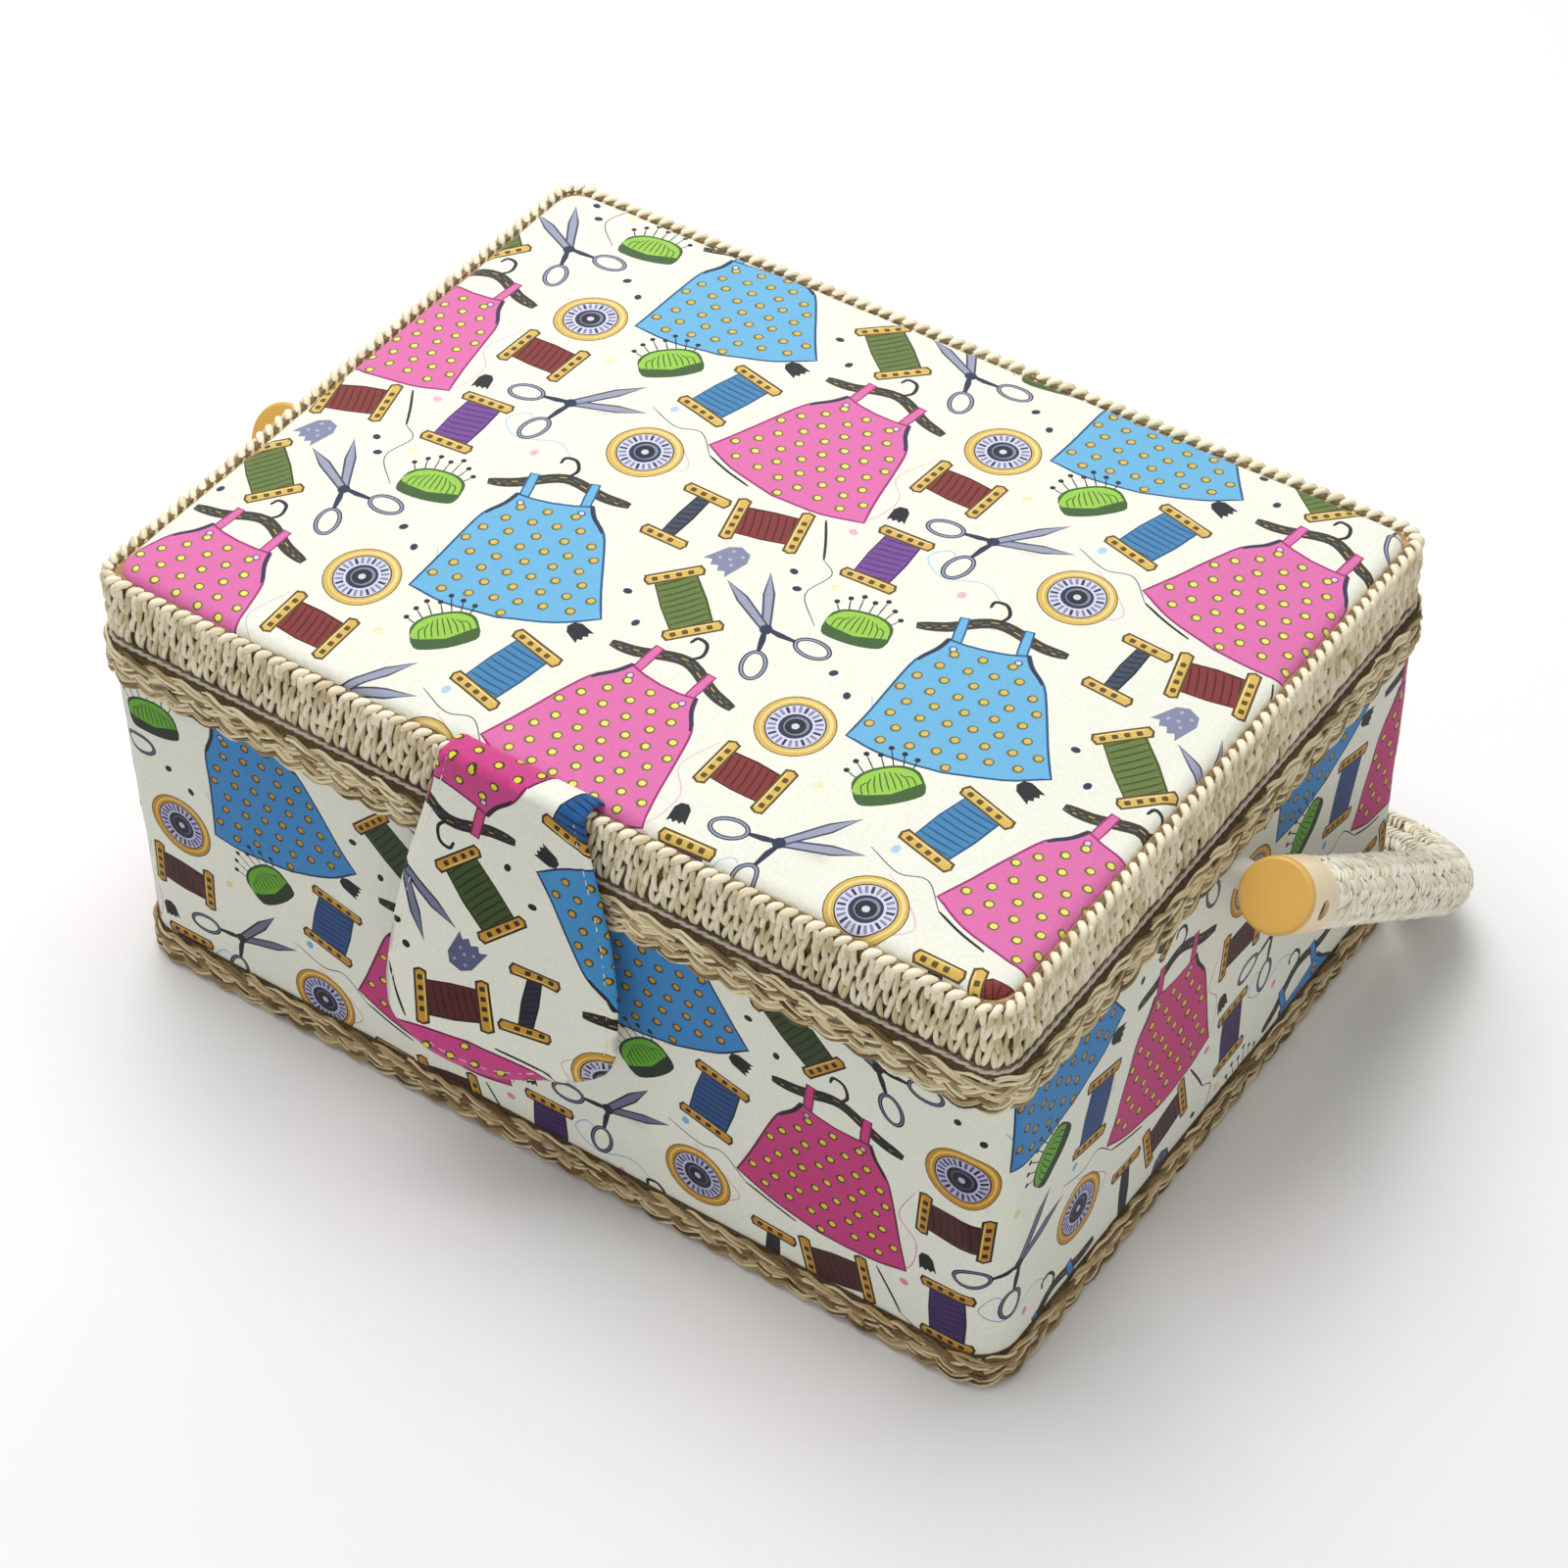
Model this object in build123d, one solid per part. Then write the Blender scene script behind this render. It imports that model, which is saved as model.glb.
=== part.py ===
from build123d import *
import os
from math import atan2, cos, degrees, hypot, radians, sin

# Sewing box with a padded hinged lid, lift-out trays and a swing handle. Millimetres.
# Origin: middle of the foot on the ground. +X right, -Y front (closing tab), +Z up.

# Driving sizes of the box
BODY_X = 302.0          # body length over the cloth
BODY_Y = 223.5          # body depth over the cloth
TOTAL_Z = 150.0         # ground to the top of the lid's rim
RIM_X = 300.5           # lid rim length
RIM_Y = 222.0           # lid rim depth
RIM_Z = 22.4            # height of the crocheted rim band
CORNER = 12.0           # vertical corner radius of the body
RIM_CORNER = 9.0        # vertical corner radius of the lid's rim

# Stock thicknesses
BOARD = 5.0
LID_BOARD = 3.0
FRAME_BOARD = 4.0
CLOTH = 0.8
PAD = 3.0
TAB_CLOTH = 2.2
TOP_PLAIT = 2.5         # how far the plaits stand proud of the body cloth
FOOT_PLAIT = 2.2
RIM_BRAID = 2.6
RIM_TOP_WIDTH = 5.0

# Heights
BODY_TOP = 125.4
LID_BOTTOM = 125.9
PLAIT_BOTTOM = 113.3
FOOT_TOP = 12.5
LID_BOARD_BOTTOM = 140.0
LID_BOARD_TOP = LID_BOARD_BOTTOM + LID_BOARD
FRAME_TOP = TOTAL_Z - 2.3
CROWN_EDGE = 145.0
CROWN_RISE = 9.0
CROWN_FILLET = 5.0
PAD_CORNER = 10.0

# Moving fits
GAP = 0.3               # between bodies that move past each other
RUN = 0.05              # radial clearance of the pivot screw in its sleeve

# Handle
PIVOT_Z = 111.0
ARM_X = 170.0           # middle of each arm
TUBE_R = 10.0
CORE_R = 6.0
BEND_R = 35.0
SLEEVE_R = 10.7
SLEEVE_TAIL = 11.0      # sleeve and plug behind the pivot
SLEEVE_NOSE = 9.0       # sleeve beyond the pivot
PLUG_CAP = 2.4
SCREW_R = 2.0
HEAD_R = 2.7
HEAD_HOLE_R = 3.0       # countersink in the sleeve for the screw's head
SPACER_R = 4.4
GRIP_Z = TUBE_R + 0.4   # height of the grip's axis when it lies behind the box
GRIP_Y = BODY_Y / 2 + FOOT_PLAIT + TUBE_R + 1.0
ARM = hypot(GRIP_Y, PIVOT_Z - GRIP_Z)
DROOP = degrees(atan2(PIVOT_Z - GRIP_Z, GRIP_Y))

# Closing tab
TAB_TOP_HALF = 23.5
TAB_HIP_HALF = 32.6
TAB_HIP = 44.0
TAB_LOW_HALF = 35.0
TAB_SHOULDER = 78.0
TAB_LENGTH = 102.0
TAB_LEAN = 9.0
TAB_AXIS_Y = -(RIM_Y / 2 + 1.9)
TAB_AXIS_Z = TOTAL_Z + 1.3
SNAP_DROP = 78.0        # fold to the middle of the snap
SNAP_R = 8.5

# Trays
TRAY_X = 132.0
TRAY_DEPTH = 34.0
TRAY_WALL = 1.6
TRAY_FLANGE = 4.0
TRAY_FLANGE_Z = 1.8
TRAY_CORNER = 8.0
TRAY_SIDE_GAP = 1.6     # beside each tray, clear of the pivot nuts
LEDGE_Y = 7.0
LEDGE_Z = 10.0
LEDGE_TOP = 112.0

# Derived half sizes
BODY_HX = BODY_X / 2
BODY_HY = BODY_Y / 2
WALL_HX = BODY_HX - CLOTH
WALL_HY = BODY_HY - CLOTH
ROOM_HX = WALL_HX - BOARD - CLOTH
ROOM_HY = WALL_HY - BOARD - CLOTH
ROOM_CORNER = CORNER - 2 * CLOTH - BOARD
RIM_HX = RIM_X / 2
RIM_HY = RIM_Y / 2
FRAME_HX = RIM_HX - RIM_BRAID
FRAME_HY = RIM_HY - RIM_BRAID
LID_HX = FRAME_HX - FRAME_BOARD
LID_HY = FRAME_HY - FRAME_BOARD
LID_CORNER = RIM_CORNER - RIM_BRAID - FRAME_BOARD
FLOOR_Z = CLOTH + BOARD
TRAY_HY = ROOM_HY - 0.7


def prism(half_x, half_y, radius, bottom, top):
    """Upright block with rounded vertical corners."""
    outline = RectangleRounded(2 * half_x, 2 * half_y, radius)
    return Pos(0, 0, bottom) * extrude(outline, top - bottom)


def block(low, high):
    """Box between two opposite corners."""
    size = [b - a for a, b in zip(low, high)]
    middle = [(a + b) / 2 for a, b in zip(low, high)]
    return Pos(*middle) * Box(*size)


def rod_x(radius, start, end, y=0.0, z=0.0):
    """Cylinder along X between two X values."""
    return Pos((start + end) / 2, y, z) * Rot(0, 90, 0) * Cylinder(radius, abs(end - start))


def band(half_x, half_y, radius, thickness, bottom, top):
    """Upright hoop: outer half sizes, wall thickness, and heights."""
    outer = prism(half_x, half_y, radius, bottom, top)
    inner_radius = max(radius - thickness, 0.5)
    inner = prism(half_x - thickness, half_y - thickness, inner_radius, bottom - 1, top + 1)
    return outer - inner


def four_walls(half_x, half_y, radius, thickness, bottom, top):
    """Front and rear boards take in the rounded corners; left and right boards fit between them."""
    hoop = band(half_x, half_y, radius, thickness, bottom, top)
    cut = half_y - radius
    front = hoop & block((-half_x, -half_y, bottom), (half_x, -cut, top))
    rear = hoop & block((-half_x, cut, bottom), (half_x, half_y, top))
    left = hoop & block((-half_x, -cut, bottom), (0, cut, top))
    right = hoop & block((0, -cut, bottom), (half_x, cut, top))
    return front, rear, left, right


def crown(half_x, half_y, radius, bottom, edge, rise, fillet_radius):
    """Pad with a gently domed top and a soft upper edge."""
    reach = hypot(half_x, half_y)
    ball_radius = (reach ** 2 + rise ** 2) / (2 * rise)
    ball = Pos(0, 0, edge + rise - ball_radius) * Sphere(ball_radius)
    pad = prism(half_x, half_y, radius, bottom, edge + 2 * rise) & ball
    top_edges = pad.faces().sort_by(Axis.Z)[-1].edges()
    return fillet(top_edges, fillet_radius)


def body_parts():
    """The box: boards, cloth, plaits, floor and tray ledges."""
    pivot_hole = rod_x(3.0, -BODY_X, BODY_X, 0, PIVOT_Z)
    spacer_notch = rod_x(SPACER_R + GAP, -BODY_X, BODY_X, 0, PIVOT_Z)
    front, rear, left, right = four_walls(WALL_HX, WALL_HY, CORNER - CLOTH, BOARD,
                                          FLOOR_Z, BODY_TOP - CLOTH)
    cover = band(BODY_HX, BODY_HY, CORNER, CLOTH, 0, BODY_TOP - CLOTH)
    cover += band(BODY_HX, BODY_HY, CORNER, 2 * CLOTH + BOARD, BODY_TOP - CLOTH, BODY_TOP)
    lining = band(ROOM_HX + CLOTH, ROOM_HY + CLOTH, ROOM_CORNER + CLOTH, CLOTH,
                  FLOOR_Z, BODY_TOP - CLOTH)
    top_plait = band(BODY_HX + TOP_PLAIT, BODY_HY + TOP_PLAIT, CORNER + TOP_PLAIT, TOP_PLAIT,
                     PLAIT_BOTTOM, BODY_TOP)
    foot_plait = band(BODY_HX + FOOT_PLAIT, BODY_HY + FOOT_PLAIT, CORNER + FOOT_PLAIT,
                      FOOT_PLAIT, 0, FOOT_TOP)
    room = prism(ROOM_HX, ROOM_HY, ROOM_CORNER, LEDGE_TOP - LEDGE_Z, LEDGE_TOP)
    ledge = room & block((-ROOM_HX, -ROOM_HY, LEDGE_TOP - LEDGE_Z),
                         (ROOM_HX, LEDGE_Y - ROOM_HY, LEDGE_TOP))
    return {
        "base_cloth": prism(WALL_HX, WALL_HY, CORNER - CLOTH, 0, CLOTH),
        "base_board": prism(WALL_HX, WALL_HY, CORNER - CLOTH, CLOTH, FLOOR_Z),
        "front_wall_board": front,
        "rear_wall_board": rear,
        "left_wall_board": left - pivot_hole,
        "right_wall_board": right - pivot_hole,
        "body_fabric_cover": cover - pivot_hole,
        "body_lining": lining - pivot_hole,
        "floor_pad": prism(ROOM_HX - GAP, ROOM_HY - GAP, ROOM_CORNER, FLOOR_Z, FLOOR_Z + PAD),
        "body_top_braid": top_plait - spacer_notch,
        "base_braid": foot_plait,
        "front_tray_ledge": ledge,
        "rear_tray_ledge": mirror(ledge, Plane.XZ),
    }


def lid_parts():
    """The lid: four frame boards, a panel, a crowned pad and what is sewn to it."""
    front, rear, left, right = four_walls(FRAME_HX, FRAME_HY, RIM_CORNER - RIM_BRAID, FRAME_BOARD,
                                          LID_BOTTOM + CLOTH, FRAME_TOP)
    braid_bottom = TOTAL_Z - RIM_Z
    braid = band(RIM_HX, RIM_HY, RIM_CORNER, RIM_BRAID, braid_bottom, FRAME_TOP)
    braid += band(RIM_HX, RIM_HY, RIM_CORNER, RIM_TOP_WIDTH, FRAME_TOP, TOTAL_Z)
    foam = crown(LID_HX - CLOTH, LID_HY - CLOTH, PAD_CORNER - CLOTH, LID_BOARD_TOP,
                 CROWN_EDGE, CROWN_RISE, CROWN_FILLET)
    cloth = crown(LID_HX, LID_HY, PAD_CORNER, LID_BOARD_TOP,
                  CROWN_EDGE + CLOTH, CROWN_RISE, CROWN_FILLET + CLOTH)
    lining_bottom = LID_BOARD_BOTTOM - CLOTH
    pocket = block((-134, -96, lining_bottom - 2.4), (10, -14, lining_bottom))
    cushion = Pos(80, -54, lining_bottom - 5.5) * Cylinder(33, 11)
    cushion = fillet(cushion.faces().sort_by(Axis.Z)[0].edges(), 8)
    cord = band(RIM_HX + 0.4, RIM_HY + 0.4, RIM_CORNER + 0.4, RIM_BRAID + 0.2, LID_BOTTOM,
                braid_bottom)
    return {
        "lid_frame_front": front,
        "lid_frame_rear": rear,
        "lid_frame_left": left,
        "lid_frame_right": right,
        "lid_board": prism(LID_HX, LID_HY, LID_CORNER, LID_BOARD_BOTTOM, LID_BOARD_TOP),
        "lid_foam_pad": foam,
        "lid_fabric_cover": cloth - foam,
        "lid_lining": prism(LID_HX - 0.1, LID_HY - 0.1, LID_CORNER, lining_bottom, LID_BOARD_BOTTOM),
        "lid_rim_braid": braid,
        "lid_rim_cord": cord,
        "lid_pocket": pocket,
        "lid_pincushion": cushion,
        "closure_tab_root": tab_root(),
    }


def tab_root():
    """The sewn end of the tab: up out of the rim's groove and flat over the rim."""
    pad_side = -(LID_HY + 0.1)
    rim_side = -(RIM_HY - RIM_TOP_WIDTH - 0.1)
    top = TOTAL_Z + 0.2
    over = block((-TAB_TOP_HALF, TAB_AXIS_Y + TAB_CLOTH / 2 + GAP, top),
                 (TAB_TOP_HALF, pad_side, top + TAB_CLOTH))
    down = block((-TAB_TOP_HALF, rim_side, FRAME_TOP + 0.2), (TAB_TOP_HALF, pad_side, top))
    return over + down


def tab_parts():
    """The hanging tongue with half of the press snap on its inner face."""
    half = TAB_CLOTH / 2
    shoulder = (TAB_LOW_HALF, -TAB_SHOULDER)
    hip = (TAB_HIP_HALF, -TAB_HIP)
    sides = Polyline((-TAB_LOW_HALF, -TAB_SHOULDER), (-TAB_HIP_HALF, -TAB_HIP), (-TAB_TOP_HALF, 0),
                     (TAB_TOP_HALF, 0), hip, shoulder)
    end = ThreePointArc(shoulder, (0, -TAB_LENGTH), (-TAB_LOW_HALF, -TAB_SHOULDER))
    tongue = extrude(Plane.XZ * make_face(sides + end), half, both=True)
    tongue += rod_x(half, -TAB_TOP_HALF, TAB_TOP_HALF)
    face = Pos(0, half, -SNAP_DROP) * Rot(90, 0, 0)
    stud = face * Pos(0, 0, -0.6) * Cylinder(SNAP_R, 1.2)
    stud += face * Pos(0, 0, -2.0) * Cylinder(2.8, 1.6)
    hang = Pos(0, TAB_AXIS_Y, TAB_AXIS_Z) * Rot(-TAB_LEAN, 0, 0)
    return {"closure_tab": hang * tongue, "snap_stud": hang * stud}


def snap_socket():
    """Body half of the press snap, on the front under the tab."""
    face = Pos(0, -BODY_HY, TAB_AXIS_Z - SNAP_DROP) * Rot(90, 0, 0)
    disc = face * Pos(0, 0, 0.9) * Cylinder(SNAP_R, 1.8)
    return disc - face * Pos(0, 0, 1.1) * Cylinder(3.0, 1.5)


def hinge_cloth():
    """Cloth strip sewn over the rear seam, half on the lid and half on the body."""
    rear = BODY_HY + TOP_PLAIT
    return block((-128, rear + 0.1, PLAIT_BOTTOM + 1), (128, rear + 0.8, LID_BOTTOM + 11))


def arm_frame():
    """Right arm's frame: local +Z along the arm away from the pivot, local X across the box."""
    return Pos(ARM_X, 0, PIVOT_Z) * Rot(-(90 + DROOP), 0, 0)


def handle_parts():
    """U-shaped core and its raffia winding, with a sleeve and a plug on both ends."""
    straight = ARM - BEND_R
    along = Vector(0, cos(radians(DROOP)), -sin(radians(DROOP)))
    pivot = Vector(ARM_X, 0, PIVOT_Z)

    def point(side, distance, inward):
        return Vector(side * (pivot.X - inward), 0, pivot.Z) + along * distance

    def tube_path(start):
        quarter = BEND_R * (1 - cos(radians(45)))
        first = Line(point(1, start, 0), point(1, straight, 0))
        bend = ThreePointArc(point(1, straight, 0), point(1, ARM - quarter, quarter),
                             point(1, ARM, BEND_R))
        grip = Line(point(1, ARM, BEND_R), point(-1, ARM, BEND_R))
        back_bend = ThreePointArc(point(-1, ARM, BEND_R), point(-1, ARM - quarter, quarter),
                                  point(-1, straight, 0))
        last = Line(point(-1, straight, 0), point(-1, start, 0))
        return first + bend + grip + back_bend + last

    def tube(radius, start):
        section = Plane(origin=point(1, start, 0), z_dir=along) * Circle(radius)
        return sweep(section, path=tube_path(start))

    core_start = 3.6
    core = tube(CORE_R, core_start)
    winding = tube(TUBE_R, SLEEVE_NOSE) - tube(CORE_R, SLEEVE_NOSE)
    frame = arm_frame()
    sleeve_length = SLEEVE_TAIL - PLUG_CAP + SLEEVE_NOSE
    sleeve_middle = (SLEEVE_NOSE - SLEEVE_TAIL + PLUG_CAP) / 2
    sleeve = frame * Pos(0, 0, sleeve_middle) * Cylinder(SLEEVE_R, sleeve_length)
    socket_length = SLEEVE_NOSE - core_start
    sleeve -= frame * Pos(0, 0, core_start + socket_length / 2) * Cylinder(CORE_R, socket_length)
    spigot_end = -5.0
    plug_face = PLUG_CAP - SLEEVE_TAIL
    spigot_length = spigot_end - plug_face
    spigot_place = frame * Pos(0, 0, plug_face + spigot_length / 2)
    sleeve -= spigot_place * Cylinder(5.0, spigot_length)
    sleeve -= rod_x(SCREW_R + RUN, ARM_X - 20, ARM_X + 20, 0, PIVOT_Z)
    sleeve -= rod_x(HEAD_HOLE_R, ARM_X + SLEEVE_R - 3.4, ARM_X + 20, 0, PIVOT_Z)
    cap = frame * Pos(0, 0, -SLEEVE_TAIL + PLUG_CAP / 2) * Cylinder(SLEEVE_R, PLUG_CAP)
    cap = fillet(cap.edges().filter_by(GeomType.CIRCLE).sort_by(Axis.Y)[0], 1.2)
    plug = cap + spigot_place * Cylinder(5.0, spigot_length)
    return {
        "handle_core": core,
        "handle_wrap": winding,
        "handle_sleeve_right": sleeve,
        "handle_sleeve_left": mirror(sleeve, Plane.YZ),
        "handle_plug_right": plug,
        "handle_plug_left": mirror(plug, Plane.YZ),
    }


def pivot_parts():
    """Screw, spacer and inside nut on each side; both screws share one node, and both nuts."""
    head_end = ARM_X + SLEEVE_R - 1.2
    head_start = ARM_X + SLEEVE_R - 3.4 + 0.15
    screw = rod_x(SCREW_R, ROOM_HX + 1.0, head_start, 0, PIVOT_Z)
    screw += rod_x(HEAD_R, head_start, head_end, 0, PIVOT_Z)
    screw -= rod_x(1.3, head_end - 1.0, head_end + 1, 0, PIVOT_Z)
    nut = rod_x(4.0, ROOM_HX - 1.4, ROOM_HX, 0, PIVOT_Z)
    nut += rod_x(3.0, ROOM_HX, BODY_HX, 0, PIVOT_Z)
    nut -= rod_x(SCREW_R, ROOM_HX + 1.0, BODY_HX + 1, 0, PIVOT_Z)
    spacer = rod_x(SPACER_R, BODY_HX, ARM_X - SLEEVE_R - GAP, 0, PIVOT_Z)
    spacer -= rod_x(SCREW_R, BODY_HX - 1, ARM_X, 0, PIVOT_Z)
    return {
        "pivot_screws": Compound(children=[screw, mirror(screw, Plane.YZ)]),
        "pivot_nuts": Compound(children=[nut, mirror(nut, Plane.YZ)]),
        "pivot_spacer_right": spacer,
        "pivot_spacer_left": mirror(spacer, Plane.YZ),
    }


def tray(rows):
    """Moulded tray about X = 0: flange, thin walls, one long divider and a row of cross walls."""
    top = LEDGE_TOP + GAP + TRAY_FLANGE_Z
    bottom = top - TRAY_DEPTH
    half_x = TRAY_X / 2
    body_hx = half_x - TRAY_FLANGE
    body_hy = ROOM_HY - LEDGE_Y - 0.6
    shell = prism(body_hx, body_hy, TRAY_CORNER, bottom, top)
    shell += prism(half_x, TRAY_HY, TRAY_CORNER, top - TRAY_FLANGE_Z, top)
    inner_hx = body_hx - TRAY_WALL
    inner_hy = body_hy - TRAY_WALL
    shell -= prism(inner_hx, inner_hy, TRAY_CORNER - TRAY_WALL, bottom + TRAY_WALL, top + 1)
    wall_top = top - 4
    for y in rows:
        shell += block((-inner_hx - 0.5, y - 0.8, bottom + 1), (inner_hx + 0.5, y + 0.8, wall_top))
    return shell


def divider_slot(shell, y_low, y_high, x, bottom):
    """Two pairs of ribs that hold a loose divider."""
    for y, step in ((y_low, 1), (y_high, -1)):
        for side in (-1, 1):
            near = x + side * 0.8
            far = x + side * 2.0
            rib = block((min(near, far), min(y, y + step * 2), bottom + 1),
                        (max(near, far), max(y, y + step * 2), bottom + TRAY_DEPTH - 6))
            shell += rib
    return shell


def tray_parts():
    """Two trays side by side, with a clear well between them, and a loose divider in each."""
    top = LEDGE_TOP + GAP + TRAY_FLANGE_Z
    bottom = top - TRAY_DEPTH
    floor = bottom + TRAY_WALL
    inner_hy = ROOM_HY - LEDGE_Y - 0.6 - TRAY_WALL
    centre = ROOM_HX - TRAY_SIDE_GAP - TRAY_X / 2
    row = -inner_hy / 3
    left = divider_slot(tray([row]), row + 0.8, inner_hy, 0, bottom)
    right = divider_slot(tray([row, -row]), row + 0.8, -row - 0.8, 0, bottom)
    clear = 0.15
    left_plate = block((-0.6, row + 0.8 + clear, floor), (0.6, inner_hy - clear, top - 4))
    right_plate = block((-0.6, row + 0.8 + clear, floor), (0.6, -row - 0.8 - clear, top - 4))
    return {
        "tray_left": Pos(-centre, 0, 0) * left,
        "tray_right": Pos(centre, 0, 0) * right,
        "tray_left_divider": Pos(-centre, 0, 0) * left_plate,
        "tray_right_divider": Pos(centre, 0, 0) * right_plate,
    }


def all_parts():
    """Every sub-part by node name."""
    parts = {}
    parts.update(body_parts())
    parts.update(lid_parts())
    parts.update(tab_parts())
    parts["snap_socket"] = snap_socket()
    parts["hinge_cloth"] = hinge_cloth()
    parts.update(handle_parts())
    parts.update(pivot_parts())
    parts.update(tray_parts())
    return parts


os.makedirs("parts", exist_ok=True)
for node, shape in all_parts().items():
    export_step(shape, f"parts/{node}.step")
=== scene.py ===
import math

import bmesh
import bpy
import numpy as np
from mathutils import Matrix, Vector
from mathutils.geometry import delaunay_2d_cdt


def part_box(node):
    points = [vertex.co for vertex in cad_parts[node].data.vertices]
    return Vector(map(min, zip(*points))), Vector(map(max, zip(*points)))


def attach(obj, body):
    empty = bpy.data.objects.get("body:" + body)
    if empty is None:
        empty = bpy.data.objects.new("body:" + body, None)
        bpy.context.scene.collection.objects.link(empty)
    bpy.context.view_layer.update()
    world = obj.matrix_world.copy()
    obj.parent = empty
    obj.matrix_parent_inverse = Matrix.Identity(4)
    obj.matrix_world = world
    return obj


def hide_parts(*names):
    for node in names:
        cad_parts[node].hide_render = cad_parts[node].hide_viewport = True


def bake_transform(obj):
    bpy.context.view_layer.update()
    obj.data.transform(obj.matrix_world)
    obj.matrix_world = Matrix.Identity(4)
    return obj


# Sewing box: printed cotton, crocheted and plaited raffia, trays, pads and trim on the CAD frame.
# Artwork is flat and in millimetres; everything placed in the scene is in metres.

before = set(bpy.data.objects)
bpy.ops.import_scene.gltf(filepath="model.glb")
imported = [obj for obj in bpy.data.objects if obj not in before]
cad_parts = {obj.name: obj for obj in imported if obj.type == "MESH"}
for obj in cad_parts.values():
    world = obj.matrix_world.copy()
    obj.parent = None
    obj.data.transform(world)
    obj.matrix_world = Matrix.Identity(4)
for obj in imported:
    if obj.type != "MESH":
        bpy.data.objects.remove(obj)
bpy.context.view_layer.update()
MM = 0.001


# ---------------------------------------------------------------- sizes read from the frame

def half_sizes(node):
    """Half length, half depth, lowest and highest Z of a node centred on the box."""
    low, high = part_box(node)
    return (high.x - low.x) / 2, (high.y - low.y) / 2, low.z, high.z


BODY_HX, BODY_HY, _, BODY_TOP = half_sizes("body_fabric_cover")
PLAIT_HX, PLAIT_HY, PLAIT_BOTTOM, PLAIT_TOP = half_sizes("body_top_braid")
FOOT_HX, FOOT_HY, _, FOOT_TOP = half_sizes("base_braid")
RIM_HX, RIM_HY, RIM_BOTTOM, RIM_TOP = half_sizes("lid_rim_braid")
PAD_HX, PAD_HY, _, PAD_TOP = half_sizes("lid_fabric_cover")
BODY_CORNER = 12 * MM
RIM_CORNER = 9 * MM
PAD_CORNER = 8 * MM
SEAM_Z = 0.1256          # where the lid meets the body
HANDLE_PIVOT_Z = sum(half_sizes("pivot_spacer_right")[2:]) / 2


# ---------------------------------------------------------------- camera, light and floor

def make_camera():
    """Camera at the photograph's angle: in front, to the right and above."""
    turn, rise, roll = math.radians(35.27), math.radians(44.42), math.radians(-0.92)
    back = Vector((math.sin(turn) * math.cos(rise), -math.cos(turn) * math.cos(rise), math.sin(rise)))
    right = Vector((math.cos(turn), math.sin(turn), 0))
    up = back.cross(right)
    level_right = math.cos(roll) * right + math.sin(roll) * up
    level_up = math.cos(roll) * up - math.sin(roll) * right
    data = bpy.data.cameras.new("camera")
    data.lens = 93.2
    data.sensor_width = 36
    data.clip_end = 20
    camera = bpy.data.objects.new("camera", data)
    place = Vector((0.0018, 0.0059, 0.0554)) + 1.1922 * back
    camera.matrix_world = Matrix((
        (level_right.x, level_up.x, back.x, place.x),
        (level_right.y, level_up.y, back.y, place.y),
        (level_right.z, level_up.z, back.z, place.z),
        (0, 0, 0, 1),
    ))
    bpy.context.collection.objects.link(camera)
    bpy.context.scene.camera = camera


def area_light(name, place, target, size, power):
    """Square soft light pointed at a target."""
    data = bpy.data.lights.new(name, "AREA")
    data.size = size
    data.energy = power
    light = bpy.data.objects.new(name, data)
    light.location = place
    light.rotation_euler = (Vector(target) - Vector(place)).to_track_quat("-Z", "Y").to_euler()
    bpy.context.collection.objects.link(light)


def make_studio():
    """Pale floor, even white surroundings and three soft lights."""
    scene = bpy.context.scene
    scene.view_settings.view_transform = "Standard"
    world = bpy.data.worlds.new("studio")
    world.use_nodes = True
    world.node_tree.nodes["Background"].inputs[0].default_value = (1, 1, 1, 1)
    world.node_tree.nodes["Background"].inputs[1].default_value = 0.40
    scene.world = world
    area_light("top_light", (-0.25, 0.15, 1.5), (0, 0, 0.08), 1.0, 17.5)
    area_light("rear_light", (-1.0, 0.9, 0.9), (0, 0, 0.08), 0.8, 5)
    area_light("front_light", (0.9, -1.2, 0.7), (0, 0, 0.06), 0.9, 3.0)
    bpy.ops.mesh.primitive_plane_add(size=12, location=(0, 0, -0.0002))
    floor = bpy.context.object
    floor.name = "studio_floor"
    floor.data.materials.append(plain_material("floor_white", (0.86, 0.86, 0.855), 0.9))


# ---------------------------------------------------------------- materials

def linear(code):
    """Linear colour from an sRGB hex code."""
    parts = [int(code[i:i + 2], 16) / 255 for i in (0, 2, 4)]
    return tuple(c / 12.92 if c <= 0.04045 else ((c + 0.055) / 1.055) ** 2.4 for c in parts)


def plain_material(name, colour, roughness):
    """Material of one colour and roughness."""
    material = bpy.data.materials.new(name)
    material.use_nodes = True
    shader = material.node_tree.nodes["Principled BSDF"]
    shader.inputs["Base Color"].default_value = (*colour, 1)
    shader.inputs["Roughness"].default_value = roughness
    return material


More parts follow.
